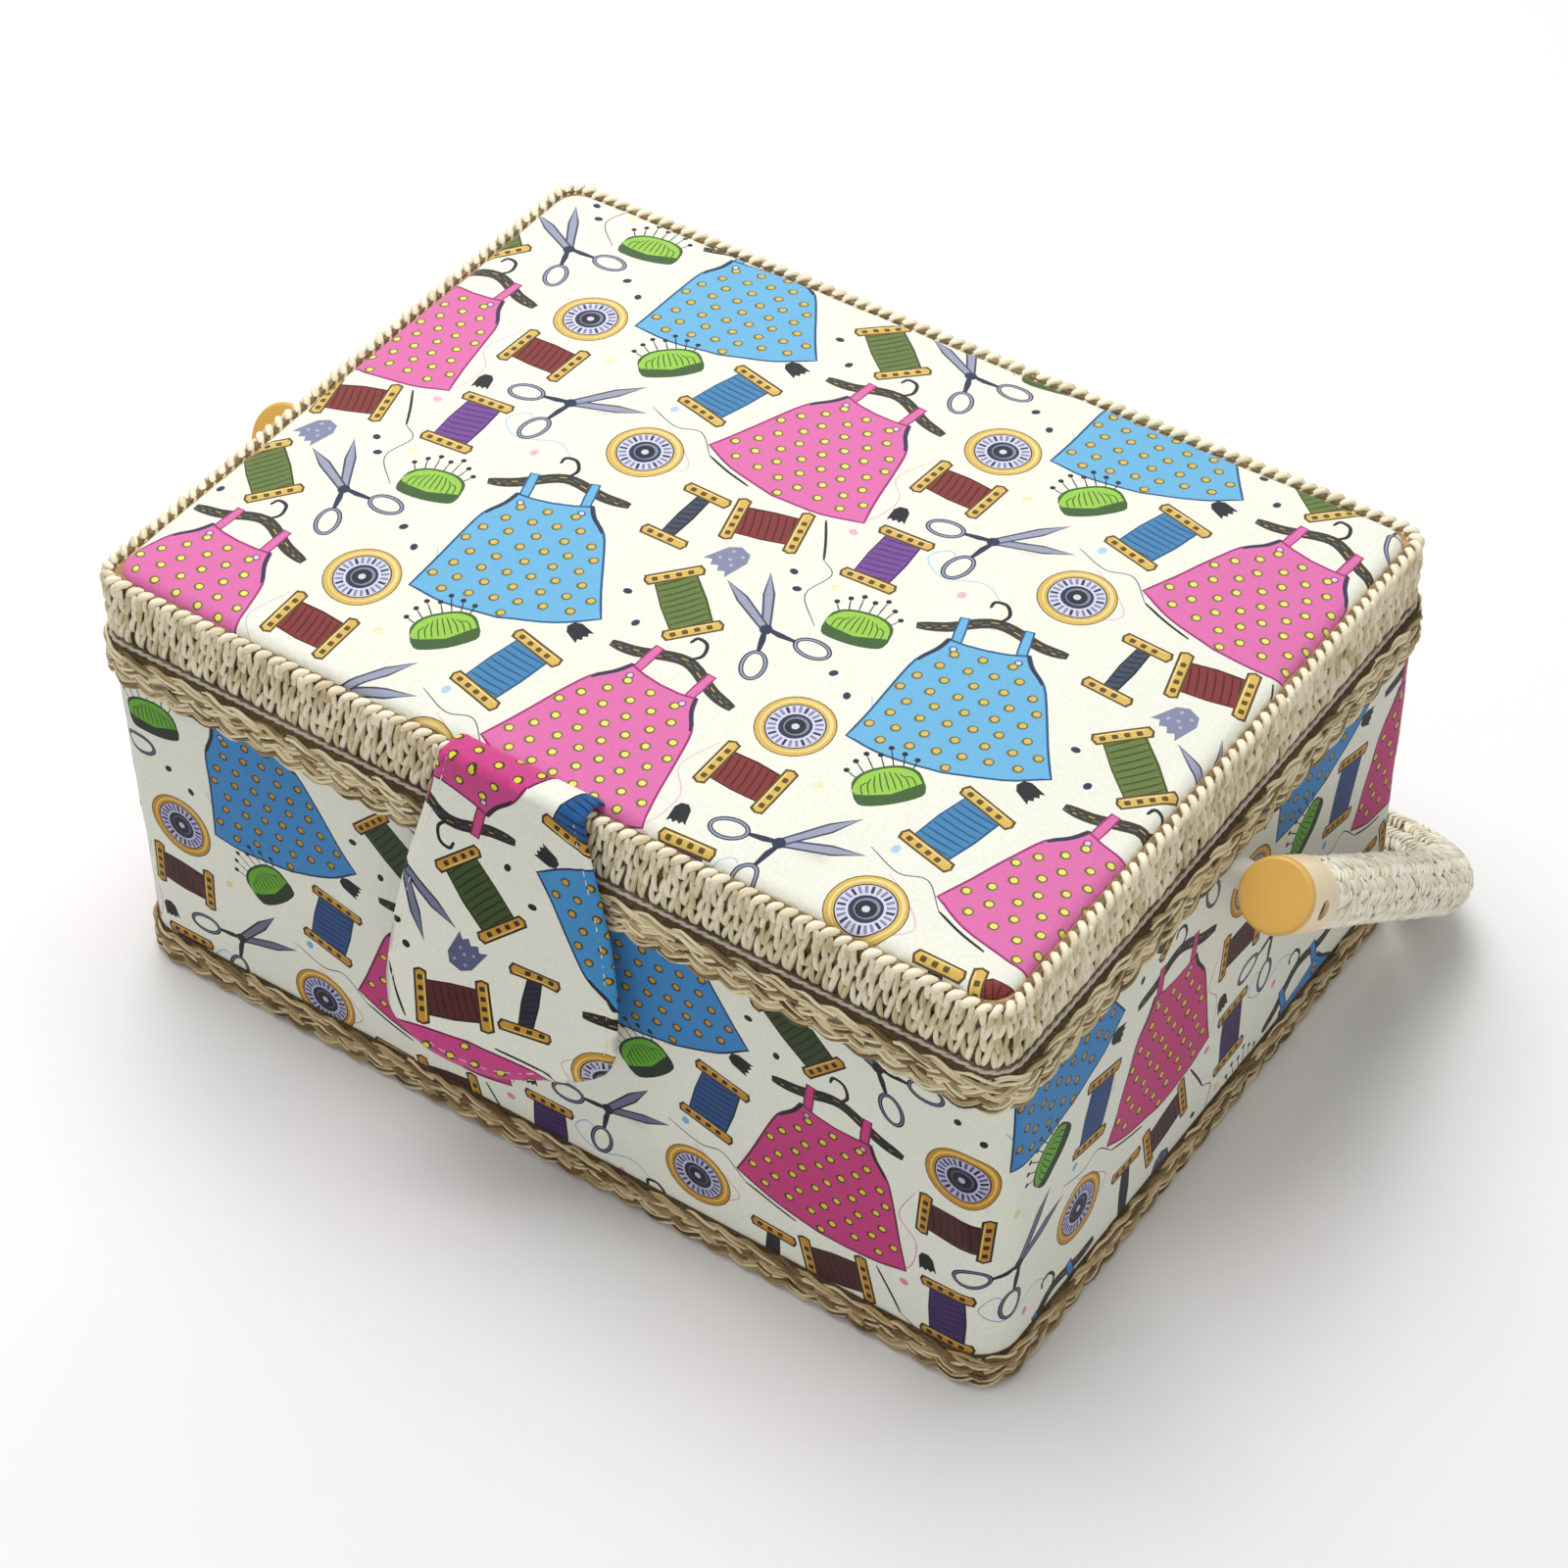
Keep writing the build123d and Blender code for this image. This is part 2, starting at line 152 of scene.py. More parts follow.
class Nodes:
    """Short calls for building a node tree."""

    def __init__(self, material):
        self.tree = material.node_tree
        self.shader = self.tree.nodes["Principled BSDF"]

    def new(self, kind, **values):
        node = self.tree.nodes.new(kind)
        for key, value in values.items():
            setattr(node, key, value)
        return node

    def link(self, source, target):
        self.tree.links.new(source, target)

    def attribute(self, name):
        return self.new("ShaderNodeAttribute", attribute_name=name)

    def math(self, operation, a, b=None, clamp=False):
        node = self.new("ShaderNodeMath", operation=operation, use_clamp=clamp)
        for socket, value in zip(node.inputs, (a, b)):
            if isinstance(value, (int, float)):
                socket.default_value = value
            elif value is not None:
                self.link(value, socket)
        return node.outputs[0]

    def noise(self, vector, scale, detail=2.0, rough=0.5):
        node = self.new("ShaderNodeTexNoise")
        node.inputs["Scale"].default_value = scale
        node.inputs["Detail"].default_value = detail
        node.inputs["Roughness"].default_value = rough
        self.link(vector, node.inputs["Vector"])
        return node.outputs["Fac"]

    def ramp(self, factor, stops):
        node = self.new("ShaderNodeValToRGB")
        points = node.color_ramp.elements
        while len(points) < len(stops):
            points.new(0.5)
        for point, (place, colour) in zip(points, stops):
            point.position = place
            point.color = (*colour, 1) if len(colour) == 3 else colour
        self.link(factor, node.inputs["Fac"])
        return node.outputs["Color"]

    def multiply(self, a, b):
        node = self.new("ShaderNodeMix", data_type="RGBA", blend_type="MULTIPLY")
        node.inputs[0].default_value = 1.0
        for index, value in ((6, a), (7, b)):
            if isinstance(value, tuple):
                node.inputs[index].default_value = (*value, 1)
            else:
                self.link(value, node.inputs[index])
        return node.outputs[2]

    def bump(self, height, distance, strength):
        node = self.new("ShaderNodeBump")
        node.inputs["Strength"].default_value = strength
        node.inputs["Distance"].default_value = distance
        self.link(height, node.inputs["Height"])
        self.link(node.outputs[0], self.shader.inputs["Normal"])

    def position(self):
        return self.new("ShaderNodeTexCoord").outputs["Object"]


def weave_height(n, flat, pitch):
    """Plain weave: warp and weft threads passing over each other, from a flat cloth coordinate in mm."""
    split = n.new("ShaderNodeSeparateXYZ")
    n.link(flat, split.inputs[0])
    turns = 2 * math.pi / pitch
    wave_u = n.math("SINE", n.math("MULTIPLY", split.outputs[0], turns))
    wave_v = n.math("SINE", n.math("MULTIPLY", split.outputs[1], turns))
    over = n.math("MULTIPLY", wave_u, wave_v)
    return n.math("ADD", n.math("MULTIPLY", over, 0.5), 0.5)


def cotton_material(name, colour=None, pitch=0.55):
    """Woven cotton. With no colour given it takes the printed ink of each face."""
    material = plain_material(name, colour or (0.9, 0.9, 0.85), 0.82)
    n = Nodes(material)
    shader = n.shader
    shader.inputs["Specular IOR Level"].default_value = 0.25
    shader.inputs["Sheen Weight"].default_value = 0.18
    shader.inputs["Sheen Roughness"].default_value = 0.5
    flat = n.attribute("Flat").outputs["Vector"]
    weave = weave_height(n, flat, pitch)
    slub = n.noise(flat, 0.9, 4.0, 0.6)
    base = n.attribute("Ink").outputs["Color"] if colour is None else colour
    # Painted shade: the weave's low points, where threads pass under, are darkened by up to 14 percent.
    threads = n.ramp(weave, ((0.0, (0.86, 0.86, 0.86)), (1.0, (1.0, 1.0, 1.0))))
    ink_with_weave_shade = n.multiply(base, threads)
    patches = n.ramp(slub, ((0.3, (0.90, 0.90, 0.90)), (0.7, (1.0, 1.0, 1.0))))
    n.link(n.multiply(ink_with_weave_shade, patches), shader.inputs["Base Color"])
    height = n.math("ADD", weave, n.math("MULTIPLY", slub, 0.8))
    n.bump(height, 0.00012, 0.55)
    return material


def raffia_material(name, pale, mid, dark):
    """Dry plant fibre: each strand has its own shade, with fine streaks along it."""
    material = plain_material(name, mid, 0.62)
    n = Nodes(material)
    shader = n.shader
    shader.inputs["Specular IOR Level"].default_value = 0.35
    shader.inputs["Sheen Weight"].default_value = 0.06
    strand = n.attribute("Strand")
    shade = strand.outputs["Vector"]
    split = n.new("ShaderNodeSeparateXYZ")
    n.link(shade, split.inputs[0])
    along = n.attribute("Fibre").outputs["Vector"]
    streaks = n.noise(along, 1.0, 3.0, 0.65)
    blotches = n.noise(n.position(), 45.0, 3.0, 0.6)
    tone = n.math("ADD", split.outputs[0], n.math("MULTIPLY", n.math("SUBTRACT", streaks, 0.5), 0.75))
    tone = n.math("ADD", tone, n.math("MULTIPLY", n.math("SUBTRACT", blotches, 0.5), 0.45), clamp=True)
    # deep: darkest stop, below the dark raffia; the strand backings' painted gap shade sits near it, and the
    # darkest strand tones reach it.
    deep = tuple(c * 0.35 for c in dark)
    colour = n.ramp(tone, ((0.0, deep), (0.22, dark), (0.55, mid), (0.85, pale)))
    n.link(colour, shader.inputs["Base Color"])
    n.bump(streaks, 0.00035, 0.6)
    return material


def make_materials():
    """Every soft material by short name."""
    made = {
        "print": cotton_material("printed_cotton"),
        "lining": cotton_material("lining_cotton", linear("E9DFC4"), 0.6),
        "pink": cotton_material("pincushion_cotton", linear("D9528F"), 0.5),
        "felt": cotton_material("bottom_felt", linear("4A4038"), 0.9),
        "pocket": cotton_material("pocket_cotton", linear("F2EBD6"), 0.6),
    }
    for key, name, *codes in (("raffia", "natural_raffia", "F6ECD2", "D3C298", "80683D"),
                              ("foot", "brown_raffia", "E2CFA6", "B89D6C", "6B522D"),
                              ("plait", "plaited_raffia", "F1E4C0", "CDB888", "705830"),
                              ("raffia_pale", "handle_raffia", "FFFAEA", "F2E8CE", "BFA97C"),
                              ("cord", "seam_cord_fibre", "F0E6D8", "DCCDBB", "A8967F"),
                              ("thread", "sewing_thread", "FFFFFF", "EDE9DC", "B9B4A4")):
        made[key] = raffia_material(name, *map(linear, codes))
    return made


# ---------------------------------------------------------------- flat drawing, in millimetres

def turned(points, degrees):
    """Points turned about the origin."""
    a = math.radians(degrees)
    turn = np.array(((math.cos(a), math.sin(a)), (-math.sin(a), math.cos(a))))
    return np.asarray(points, float) @ turn


def oval(x, y, rx, ry=None, tilt=0, count=18):
    """Closed ellipse."""
    a = np.linspace(0, 2 * math.pi, count, endpoint=False)
    ring = np.column_stack((rx * np.cos(a), (ry or rx) * np.sin(a)))
    return turned(ring, tilt) + (x, y)


def smooth(points, steps=6):
    """Catmull-Rom curve through open given points."""
    p = np.asarray(points, float)
    p = np.vstack((2 * p[0] - p[1], p, 2 * p[-1] - p[-2]))
    t = np.linspace(0, 1, steps, endpoint=False)[:, None]
    curve = []
    for a, b, c, d in zip(p[:-3], p[1:-2], p[2:-1], p[3:]):
        curve.append(0.5 * (2 * b + (c - a) * t + (2 * a - 5 * b + 4 * c - d) * t ** 2
                            + (3 * b - a - 3 * c + d) * t ** 3))
    return np.vstack(curve + [p[-2:-1]])


def stroke(points, width, taper=0.6):
    """Outline of a pen line that thins at its ends."""
    p = np.asarray(points, float)
    along = np.gradient(p, axis=0)
    along /= np.linalg.norm(along, axis=1)[:, None] + 1e-9
    side = np.column_stack((-along[:, 1], along[:, 0]))
    place = np.linspace(-1, 1, len(p))
    half = (width / 2 * (1 - (1 - taper) * np.abs(place) ** 6))[:, None]
    return np.vstack((p + side * half, (p - side * half)[::-1]))


def inset(points, distance):
    """Closed outline pulled in by a distance (points run anticlockwise)."""
    p = np.asarray(points, float)
    along = np.roll(p, -1, 0) - np.roll(p, 1, 0)
    along /= np.linalg.norm(along, axis=1)[:, None]
    return p + np.column_stack((-along[:, 1], along[:, 0])) * distance


def inside(points, outline):
    """Which points lie inside a closed outline."""
    x, y = np.asarray(points, float).T
    a = np.asarray(outline, float)
    b = np.roll(a, -1, 0)
    hits = np.zeros(len(x), bool)
    for (ax, ay), (bx, by) in zip(a, b):
        if ay != by:
            crossing = (ay > y) != (by > y)
            hits ^= crossing & (x < (bx - ax) * (y - ay) / (by - ay) + ax)
    return hits


def bar(x0, y0, x1, y1, bulge=0.0):
    """Upright rectangle with slightly bulging ends."""
    middle = (y0 + y1) / 2
    return np.array(((x0, y0), (x1, y0), (x1 + bulge, middle), (x1, y1), (x0, y1), (x0 - bulge, middle)))


INK = {name: linear(code) for name, code in {
    "cloth": "F4F5E6", "pink": "DA599D", "pink_dark": "8E1E5C", "blue": "55A6DA", "blue_dark": "14406F",
    "yellow": "F2E25A", "orange": "D9AE4C", "olive_ring": "55561C", "gold": "D6AA45", "gold_light": "F2D480",
    "brown": "4A3413", "black": "17181C", "navy": "1C2338", "rope": "2A261E", "red": "6E1F1C",
    "red_dark": "3C1013", "spool_blue": "2D6EA6", "spool_blue_dark": "17416E", "purple": "5F3482",
    "purple_dark": "3B1D57", "green": "4F6528", "green_dark": "2B3A14", "steel": "8B8FA8",
    "steel_dark": "30344A", "lime": "86C434", "leaf": "2C4A1F", "grey_blue": "6F7493",
    "grey_light": "A9ADC9", "lilac": "D3D0EA", "pale_pink": "EBA9C0", "pale_blue": "9CCBE8",
    "pale_yellow": "EFE9B0", "thread": "54606A", "navy_reel": "2C3448",
    "navy_reel_dark": "14181F"}.items()}


def dress(cloth, trim, dot):
    """Sleeveless A-line dress with spots, straps and a padded hanger."""
    half = smooth(((11.6, 25.5), (13.8, 20.8), (18.0, 15.2), (21, 6), (24.6, -7), (28, -17.5)), 3)
    hem = smooth(((28, -17.5), (16, -22), (0, -24)), 4)[1:]
    right = np.vstack((((0, 24), (6, 24.4)), half, hem))
    left = (right * (-1, 1))[::-1][1:-1]
    outline = np.vstack((right, left))[::-1]
    body = inset(outline, 0.7)
    rope = smooth(((-21, 28), (-13, 29.5), (0, 34.5), (13, 29.5), (21, 28)))
    shapes = [(stroke(rope, 3.9), "rope"),
              (stroke(smooth(((0, 35), (2.2, 38.5), (0.6, 42.5), (-2.8, 43), (-3.6, 40.4))), 1.1), "black")]
    for k in range(1, len(rope) - 1):
        fleck = stroke(rope[k - 1:k + 1] + (0.3, 0.5 * (-1) ** k), 0.5)
        shapes.append((fleck, "gold" if k % 3 == 0 else "thread"))
    for x in (-9, 9):
        shapes.append((bar(x - 1.5, 22, x + 1.5, 34.5, 0.2), trim))
        shapes.append((bar(x - 1.0, 22, x + 1.0, 34.1, 0.2), cloth))
    shapes += [(outline, trim), (body, cloth)]
    for side in (-1, 1):
        arm = half[:7] * (side, 1) - (0.9 * side, 0)
        shapes.append((stroke(arm, 1.2), "navy"))
        shapes.append((oval(9 * side, 21.6, 1.25, count=10), trim))
        shapes.append((oval(9 * side, 21.7, 0.8, count=8), "lilac"))
    spots = []
    for row in range(-4, 5):
        for column in range(-4, 5):
            spots.append((column * 7.6 + (row % 2) * 3.8 + 0.7 * math.sin(row * 3 + column), row * 5.2 - 1))
    spots = np.array(spots)
    for x, y in spots[inside(spots, inset(outline, 1.8))]:
        shapes.append((oval(x, y, 1.6, 1.45, 20, 10), "olive_ring"))
        shapes.append((oval(x + 0.1, y + 0.1, 1.05, 0.95, 20, 8), dot))
    return shapes


def spool(width, height, thread, core=0.68):
    """Reel with turned ends and thread wound on it."""
    w, h, end = width / 2, height / 2, 2.1
    c = w * core
    shapes = [(bar(-c, -h + end, c, h - end, 0.5), thread + "_dark"),
              (bar(-c + 0.4, -h + end + 0.4, c - 0.6, h - end - 0.4, 0.4), thread)]
    y = -h + 2 * end
    while y < h - 2 * end:
        shapes.append((stroke(smooth(((-c + 0.3, y - 0.7), (0, y - 0.1), (c - 0.5, y + 0.9)), 3), 0.6),
                       thread + "_dark"))
        y += 2.3
    for side in (-1, 1):
        y0, y1 = sorted((side * (h - 2 * end), side * h))
        shapes.append((bar(-w, y0, w, y1, 0.8), "brown"))
        shapes.append((bar(-w + 0.6, y0 + 0.65, w - 0.6, y1 - 0.65, 0.7), "gold"))
        for x in np.arange(-w + 2.4, w - 1.4, 3.4):
            shapes.append((bar(x - 0.7, y0 + 1.2, x + 0.7, y1 - 1.4, 0.2), "brown"))
        shapes.append((stroke(((-w + 1.2, y1 - 1.0), (0, y1 - 0.9), (w - 1.2, y1 - 1.0)), 0.5),
                       "gold_light"))
    return shapes


def button():
    """Ringed button with plain radial ticks."""
    shapes = [(oval(0, 0, 11.1, count=30), "brown"), (oval(0, 0, 10.8, count=30), "gold"),
              (oval(0.2, 0.3, 9.8, count=26), "gold_light"), (oval(0, 0, 9.1, count=26), "gold"),
              (oval(0, 0, 8.3, count=26), "navy"), (oval(0, 0, 7.9, count=26), "lilac")]
    for step in range(24):
        tick = turned(bar(5.3, -0.42, 7.5, 0.42, 0.1), step * 15)
        shapes.append((tick, "grey_blue" if step % 3 else "navy"))
    shapes += [(oval(0, 0, 4.6, count=20), "navy"), (oval(0.2, 0.2, 3.5, count=16), "grey_blue"),
               (oval(0, 0, 2.9, count=16), "black"), (oval(0, 0, 1.1, count=10), "lilac")]
    return shapes


def scissors():
    """Open scissors: blades to the right and up, rings to the lower left."""
    shapes = []
    for tilt in (18, 49):
        blade = np.array(((0, -1.3), (14, -1.9), (23, -0.2), (14, 1.6), (0, 1.4)))
        shapes.append((turned(blade, tilt), "steel_dark"))
        shapes.append((turned(inset(blade, 0.6), tilt), "steel"))
    for x, y, tilt in ((-14, -1.6, 8), (-3, -14.4, 76)):
        shapes.append((stroke(((0.6, 0.4), (x * 0.3, y * 0.3), (x * 0.62, y * 0.62)), 1.9), "navy"))
        for radius, ink in ((0, "navy"), (0.45, "steel"), (1.0, "navy"), (1.4, "cloth")):
            shapes.append((oval(x, y, 5.9 - radius, 3.9 - radius, tilt, 20), ink))
    shapes.append((oval(0, 0, 1.9, count=10), "navy"))
    return shapes


def pincushion():
    """Round pincushion with pins stuck in its top."""
    shapes = []
    for x, y in ((-9.4, 7), (-6.4, 9.6), (-3.2, 11.6), (0.4, 10.4), (3.6, 12.2), (6.6, 9.4), (9.4, 6.6)):
        shapes.append((stroke(((x * 0.7, 3), (x * 0.88, y * 0.7), (x, y)), 0.4), "black"))
        shapes.append((oval(x, y, 0.85, count=8), "black"))
    dome = smooth(((9.6, -3.2), (9.0, 2.4), (5.4, 5.4), (0, 6.2), (-5.4, 5.4), (-9.0, 2.4), (-9.6, -3.2)), 3)
    base = smooth(((-9.6, -3.2), (-8.0, -6.2), (0, -7.4), (8.0, -6.2), (9.6, -3.2)), 3)
    shapes.append((np.vstack((dome, base[1:-1])), "leaf"))
    lime = smooth(((8.9, -1.8), (8.0, 2.2), (4.8, 4.7), (0, 5.4), (-4.8, 4.7), (-8.0, 2.2),
                   (-8.9, -1.8), (0, -3.9)), 3)
    shapes.append((lime, "lime"))
    for x in np.arange(-7.2, 8, 1.8):
        top = 4.2 - 0.05 * x * x
        shapes.append((stroke(smooth(((x, -2.6), (x * 0.95, 0.6), (x * 0.7, top)), 3), 0.4), "leaf"))
    return shapes


def thimble(ink, light=None, width=7.0, height=8.0):
    """Small thimble; the plain one has a ragged open edge."""
    w, h = width / 2, height / 2
    shapes = [(np.array(((-w, -h), (-w * 0.6, -h * 0.7), (-w * 0.3, -h), (0, -h * 0.72), (w * 0.35, -h),
                         (w * 0.6, -h * 0.7), (w, -h), (w * 0.86, h * 0.5), (w * 0.4, h),
                         (-w * 0.4, h), (-w * 0.86, h * 0.5))), ink)]
    if light:
        for x, y in ((-0.4, 0.5), (0.3, 0.6), (0, 0), (-0.45, -0.3), (0.42, -0.2)):
            shapes.append((oval(x * w, y * h, 0.55, count=7), light))
    return shapes


def pen(points, width, ink):
    """One smooth pen line as a drawing."""
    return [(stroke(smooth(points, 5), width), ink)]


def placed(shapes, x, y, tilt=0):
    """A drawing turned and moved to its place."""
    return [(turned(points, tilt) + (x, y), ink) for points, ink in shapes]


TILE_W, TILE_H = 134.0, 127.0
# Ink depth per piece: the lid's inks are lightened as painted light on the top; the tab's and walls' inks are
# deepened as painted shade on the upright sides.
LID_INK_PAINTED_LIGHT, TAB_INK_PAINTED_SHADE, WALL_INK_PAINTED_SHADE = 0.75, 1.25, 1.45


def drawn_pattern():
    """Every motif of one repeat, at its place from the middle of the pink dress."""
    art = []
    for x, y, ink in ((24, -27, "pale_pink"), (62, -37, "pale_pink"), (30, -50, "pale_yellow"),
                      (60, 9, "pale_yellow"), (88, -2, "pale_blue"), (79, -54, "pale_pink")):
        art += placed([(oval(0, 0, 1.5, 1.2, x * 7, 10), ink)], x, y)
    art += pen(((30, 12), (24, 0), (29, -9), (26, -20), (18, -24)), 0.35, "pale_pink")
    art += pen(((56, -28), (52, -22), (47, -27), (54, -33), (66, -30), (74, -36)), 0.4, "pale_blue")
    art += pen(((84, 33), (76, 36), (71, 31), (63, 35), (58, 44)), 0.4, "pale_blue")
    art += pen(((96, -30), (104, -24), (98, -16), (90, -10)), 0.35, "pale_pink")
    art += pen(((22, -41), (27, -46), (24, -56), (32, -66)), 0.4, "thread")
    art += pen(((82, -4), (92, -9), (100, -8), (107, -16)), 0.4, "thread")
    art += pen(((15, -26), (19, -34), (22, -41)), 0.8, "black")
    art += pen(((107, -16), (115, -20), (123, -23)), 0.8, "black")
    for x, y in ((17, -49), (21, -55), (45, -80), (52, -86), (-12, -86), (-20, -76)):
        art += placed([(oval(0, 0, 1.4, 1.1, x * 9, 9), "navy")], x, y)
    for drawing, x, y, tilt in (
            (dress("pink", "pink_dark", "yellow"), 1, 0, -11),
            (dress("blue", "blue_dark", "orange"), 82.4, -77, 11), (button(), 45, 25, 0),
            (button(), 90, -23, 10), (spool(16, 23, "red"), 41.5, 3.5, 81),
            (spool(17, 23, "red"), 1.5, -35.5, 98), (spool(17, 26, "spool_blue", 0.74), 99, 11, -20),
            (spool(16, 25, "purple", 0.7), 37.5, -33, -4),
            (spool(14, 25, "navy_reel", 0.3), 113.5, -42, -7),
            (spool(16, 27, "green", 0.76), -4, -73.5, 41), (scissors(), 60, -13, -3),
            (scissors(), 21, -73, 97), (pincushion(), 76, 17, 38), (pincushion(), 43, -61, 4),
            (thimble("black", None, 5.4, 6.6), 32, -14.5, 5),
            (thimble("black", None, 6, 7), 109.5, 31.5, 62),
            (thimble("grey_blue", "grey_light", 10, 11), -1, -52.5, -27)):
        art += placed(drawing, x, y, tilt)
    return art


def make_tile():
    """One repeat of the print as coloured triangles: points, triangles and an ink for each."""
    step = 4.0
    across = np.linspace(0, TILE_W, round(TILE_W / step) + 1)
    upward = np.linspace(0, TILE_H, round(TILE_H / step) + 1)
    border = [(x, 0) for x in across[:-1]] + [(TILE_W, y) for y in upward[:-1]]
    border += [(x, TILE_H) for x in across[:0:-1]] + [(0, y) for y in upward[:0:-1]]
    loops, inks = [np.array(border)], [INK["cloth"]]
    for points, ink in drawn_pattern():
        for i in (-1, 0, 1, 2):
            for j in (-1, 0, 1, 2):
                moved = points + (i * TILE_W, j * TILE_H)
                low, high = moved.min(0), moved.max(0)
                if high[0] > 0 and high[1] > 0 and low[0] < TILE_W and low[1] < TILE_H:
                    loops.append(moved)
                    inks.append(INK[ink])
    grid = np.array([(x, y) for x in across[1:-1] for y in upward[1:-1]])
    points = np.vstack(loops + [grid])
    edges, first = [], 0
    for loop in loops:
        index = np.arange(len(loop))
        edges += np.column_stack((first + index, first + np.roll(index, -1))).tolist()
        first += len(loop)
    verts, _, tris, _, _, _ = delaunay_2d_cdt([Vector(p) for p in points], edges, [], 0, 1e-4, False)
    places = np.array([tuple(v) for v in verts])
    tris = np.array([tri[:3] for tri in tris])
    middles = places[tris].mean(1)
    kept = ((middles > 0) & (middles < (TILE_W, TILE_H))).all(1)
    tris, middles = tris[kept], middles[kept]
    colours = np.tile(INK["cloth"], (len(tris), 1))
    for loop, ink in zip(loops[1:], inks[1:]):
        near = np.flatnonzero(((middles > loop.min(0)) & (middles < loop.max(0))).all(1))
        colours[near[inside(middles[near], loop)]] = ink
    return places, tris, colours


# ---------------------------------------------------------------- meshes

def make_mesh(name, points, faces, material, attributes=()):
    """Smooth-shaded object from arrays, with named vector attributes on its points."""
    mesh = bpy.data.meshes.new(name)
    mesh.from_pydata(np.asarray(points).tolist(), [], np.asarray(faces).tolist())
    for key, values in attributes:
        add_vectors(mesh, key, values)
    mesh.update()
    return link_mesh(name, mesh, material)


def around(s, half_x, half_y, corner):
    """Place and outward direction at distance s round a rounded rectangle.
    s is 0 at the middle of the front and grows towards +X."""
    s = np.asarray(s, float)
    ax, ay, arc = half_x - corner, half_y - corner, corner * math.pi / 2
    length = 4 * ax + 4 * ay + 4 * arc
    left = np.mod(s + ax, length)
    x, y, nx, ny = (np.zeros_like(left) for _ in range(4))
    runs = ((2 * ax, 0), (2 * ay, 90), (2 * ax, 180), (2 * ay, 270))
    for run, heading in runs:
        c, t = math.cos(math.radians(heading)), math.sin(math.radians(heading))
        half_along = run / 2
        half_out = half_y if heading % 180 == 0 else half_x
        straight = (left >= 0) & (left < run)
        u = left[straight] - half_along
        x[straight], y[straight] = c * u + t * half_out, t * u - c * half_out
        nx[straight], ny[straight] = t, -c
        left = left - run
        bend = (left >= 0) & (left < arc)
        a = left[bend] / corner
        u = half_along + corner * np.sin(a)
        v = half_out - corner + corner * np.cos(a)
        x[bend], y[bend] = c * u + t * v, t * u - c * v
        nx[bend] = c * np.sin(a) + t * np.cos(a)
        ny[bend] = t * np.sin(a) - c * np.cos(a)
        left = left - arc
        left = np.where(left < 0, -1, left)
    return x, y, nx, ny


def girth(half_x, half_y, corner):
    """Length round a rounded rectangle."""
    return 4 * (half_x + half_y - 2 * corner) + 2 * math.pi * corner


def printed_flat(name, tile, low, high, origin, turn, depth, material, folds=(), tongue=None):
    """Flat printed cloth, cut from low to high (mm), with the print's dress centre at origin.
    depth over 1 deepens the inks as painted shade, under 1 lightens them as painted light. folds are lines
    along which faces are split.
    tongue is an outline outside which the cloth is cut away."""
    points, tris, inks = tile
    corners = turned(np.array(((low[0], low[1]), (high[0], low[1]), high, (low[0], high[1])))
                     - np.array(origin), -turn)
    first, last = corners.min(0), corners.max(0)
    all_points, all_tris, all_inks, count = [], [], [], 0
    for i in range(math.floor(first[0] / TILE_W), math.floor(last[0] / TILE_W) + 1):
        for j in range(math.floor(first[1] / TILE_H), math.floor(last[1] / TILE_H) + 1):
            moved = turned(points + (i * TILE_W, j * TILE_H), turn) + origin
            span = moved[tris]
            near = ((span.max(1) > np.array(low)) & (span.min(1) < np.array(high))).all(1)
            all_points.append(moved)
            all_tris.append(tris[near] + count)
            all_inks.append(inks[near])
            count += len(points)
    mesh = bpy.data.meshes.new(name)
    flat = np.vstack(all_points)
    faces = np.vstack(all_tris)
    mesh.from_pydata(np.column_stack((flat, np.zeros(len(flat)))).tolist(), [], faces.tolist())
    layer = mesh.color_attributes.new("Ink", "FLOAT_COLOR", "CORNER")
    colours = np.ones((len(faces), 4))
    colours[:, :3] = np.vstack(all_inks)
    printed = (colours[:, :3] != INK["cloth"]).any(1)
    # Painted light and shade: the inks of this piece are lightened or deepened by depth.
    colours[printed, :3] **= depth
    layer.data.foreach_set("color", np.repeat(colours, 3, axis=0).ravel())
    work = bmesh.new()
    work.from_mesh(mesh)
    loose = [v for v in work.verts if not v.link_faces]
    bmesh.ops.delete(work, geom=loose, context="VERTS")
    bmesh.ops.remove_doubles(work, verts=work.verts, dist=0.01)
    cuts = [((low[0], 0), (-1, 0)), ((high[0], 0), (1, 0)), ((0, low[1]), (0, -1)), ((0, high[1]), (0, 1))]
    cut_flat(work, cuts, 1e-4, drop_outer=True)
    splits = list(folds)
    if tongue is not None:
        splits += [(a, (b[1] - a[1], a[0] - b[0])) for a, b in zip(tongue, np.roll(tongue, -1, 0))]
    cut_flat(work, splits, 1e-3)
    if tongue is not None:
        faces = work.faces[:]
        kept = inside([face.calc_center_median()[:2] for face in faces], tongue)
        outer = [face for face, keep in zip(faces, kept) if not keep]
        bmesh.ops.delete(work, geom=outer, context="FACES")
    work.to_mesh(mesh)
    work.free()
    return link_mesh(name, mesh, material)


def cut_flat(work, lines, near, drop_outer=False):
    """Splits flat faces along lines, each given by a place on it and the direction away from it."""
    for place, away in lines:
        bmesh.ops.bisect_plane(work, geom=work.verts[:] + work.edges[:] + work.faces[:], dist=near,
                               plane_co=(*place, 0), plane_no=(*away, 0), clear_outer=drop_outer)


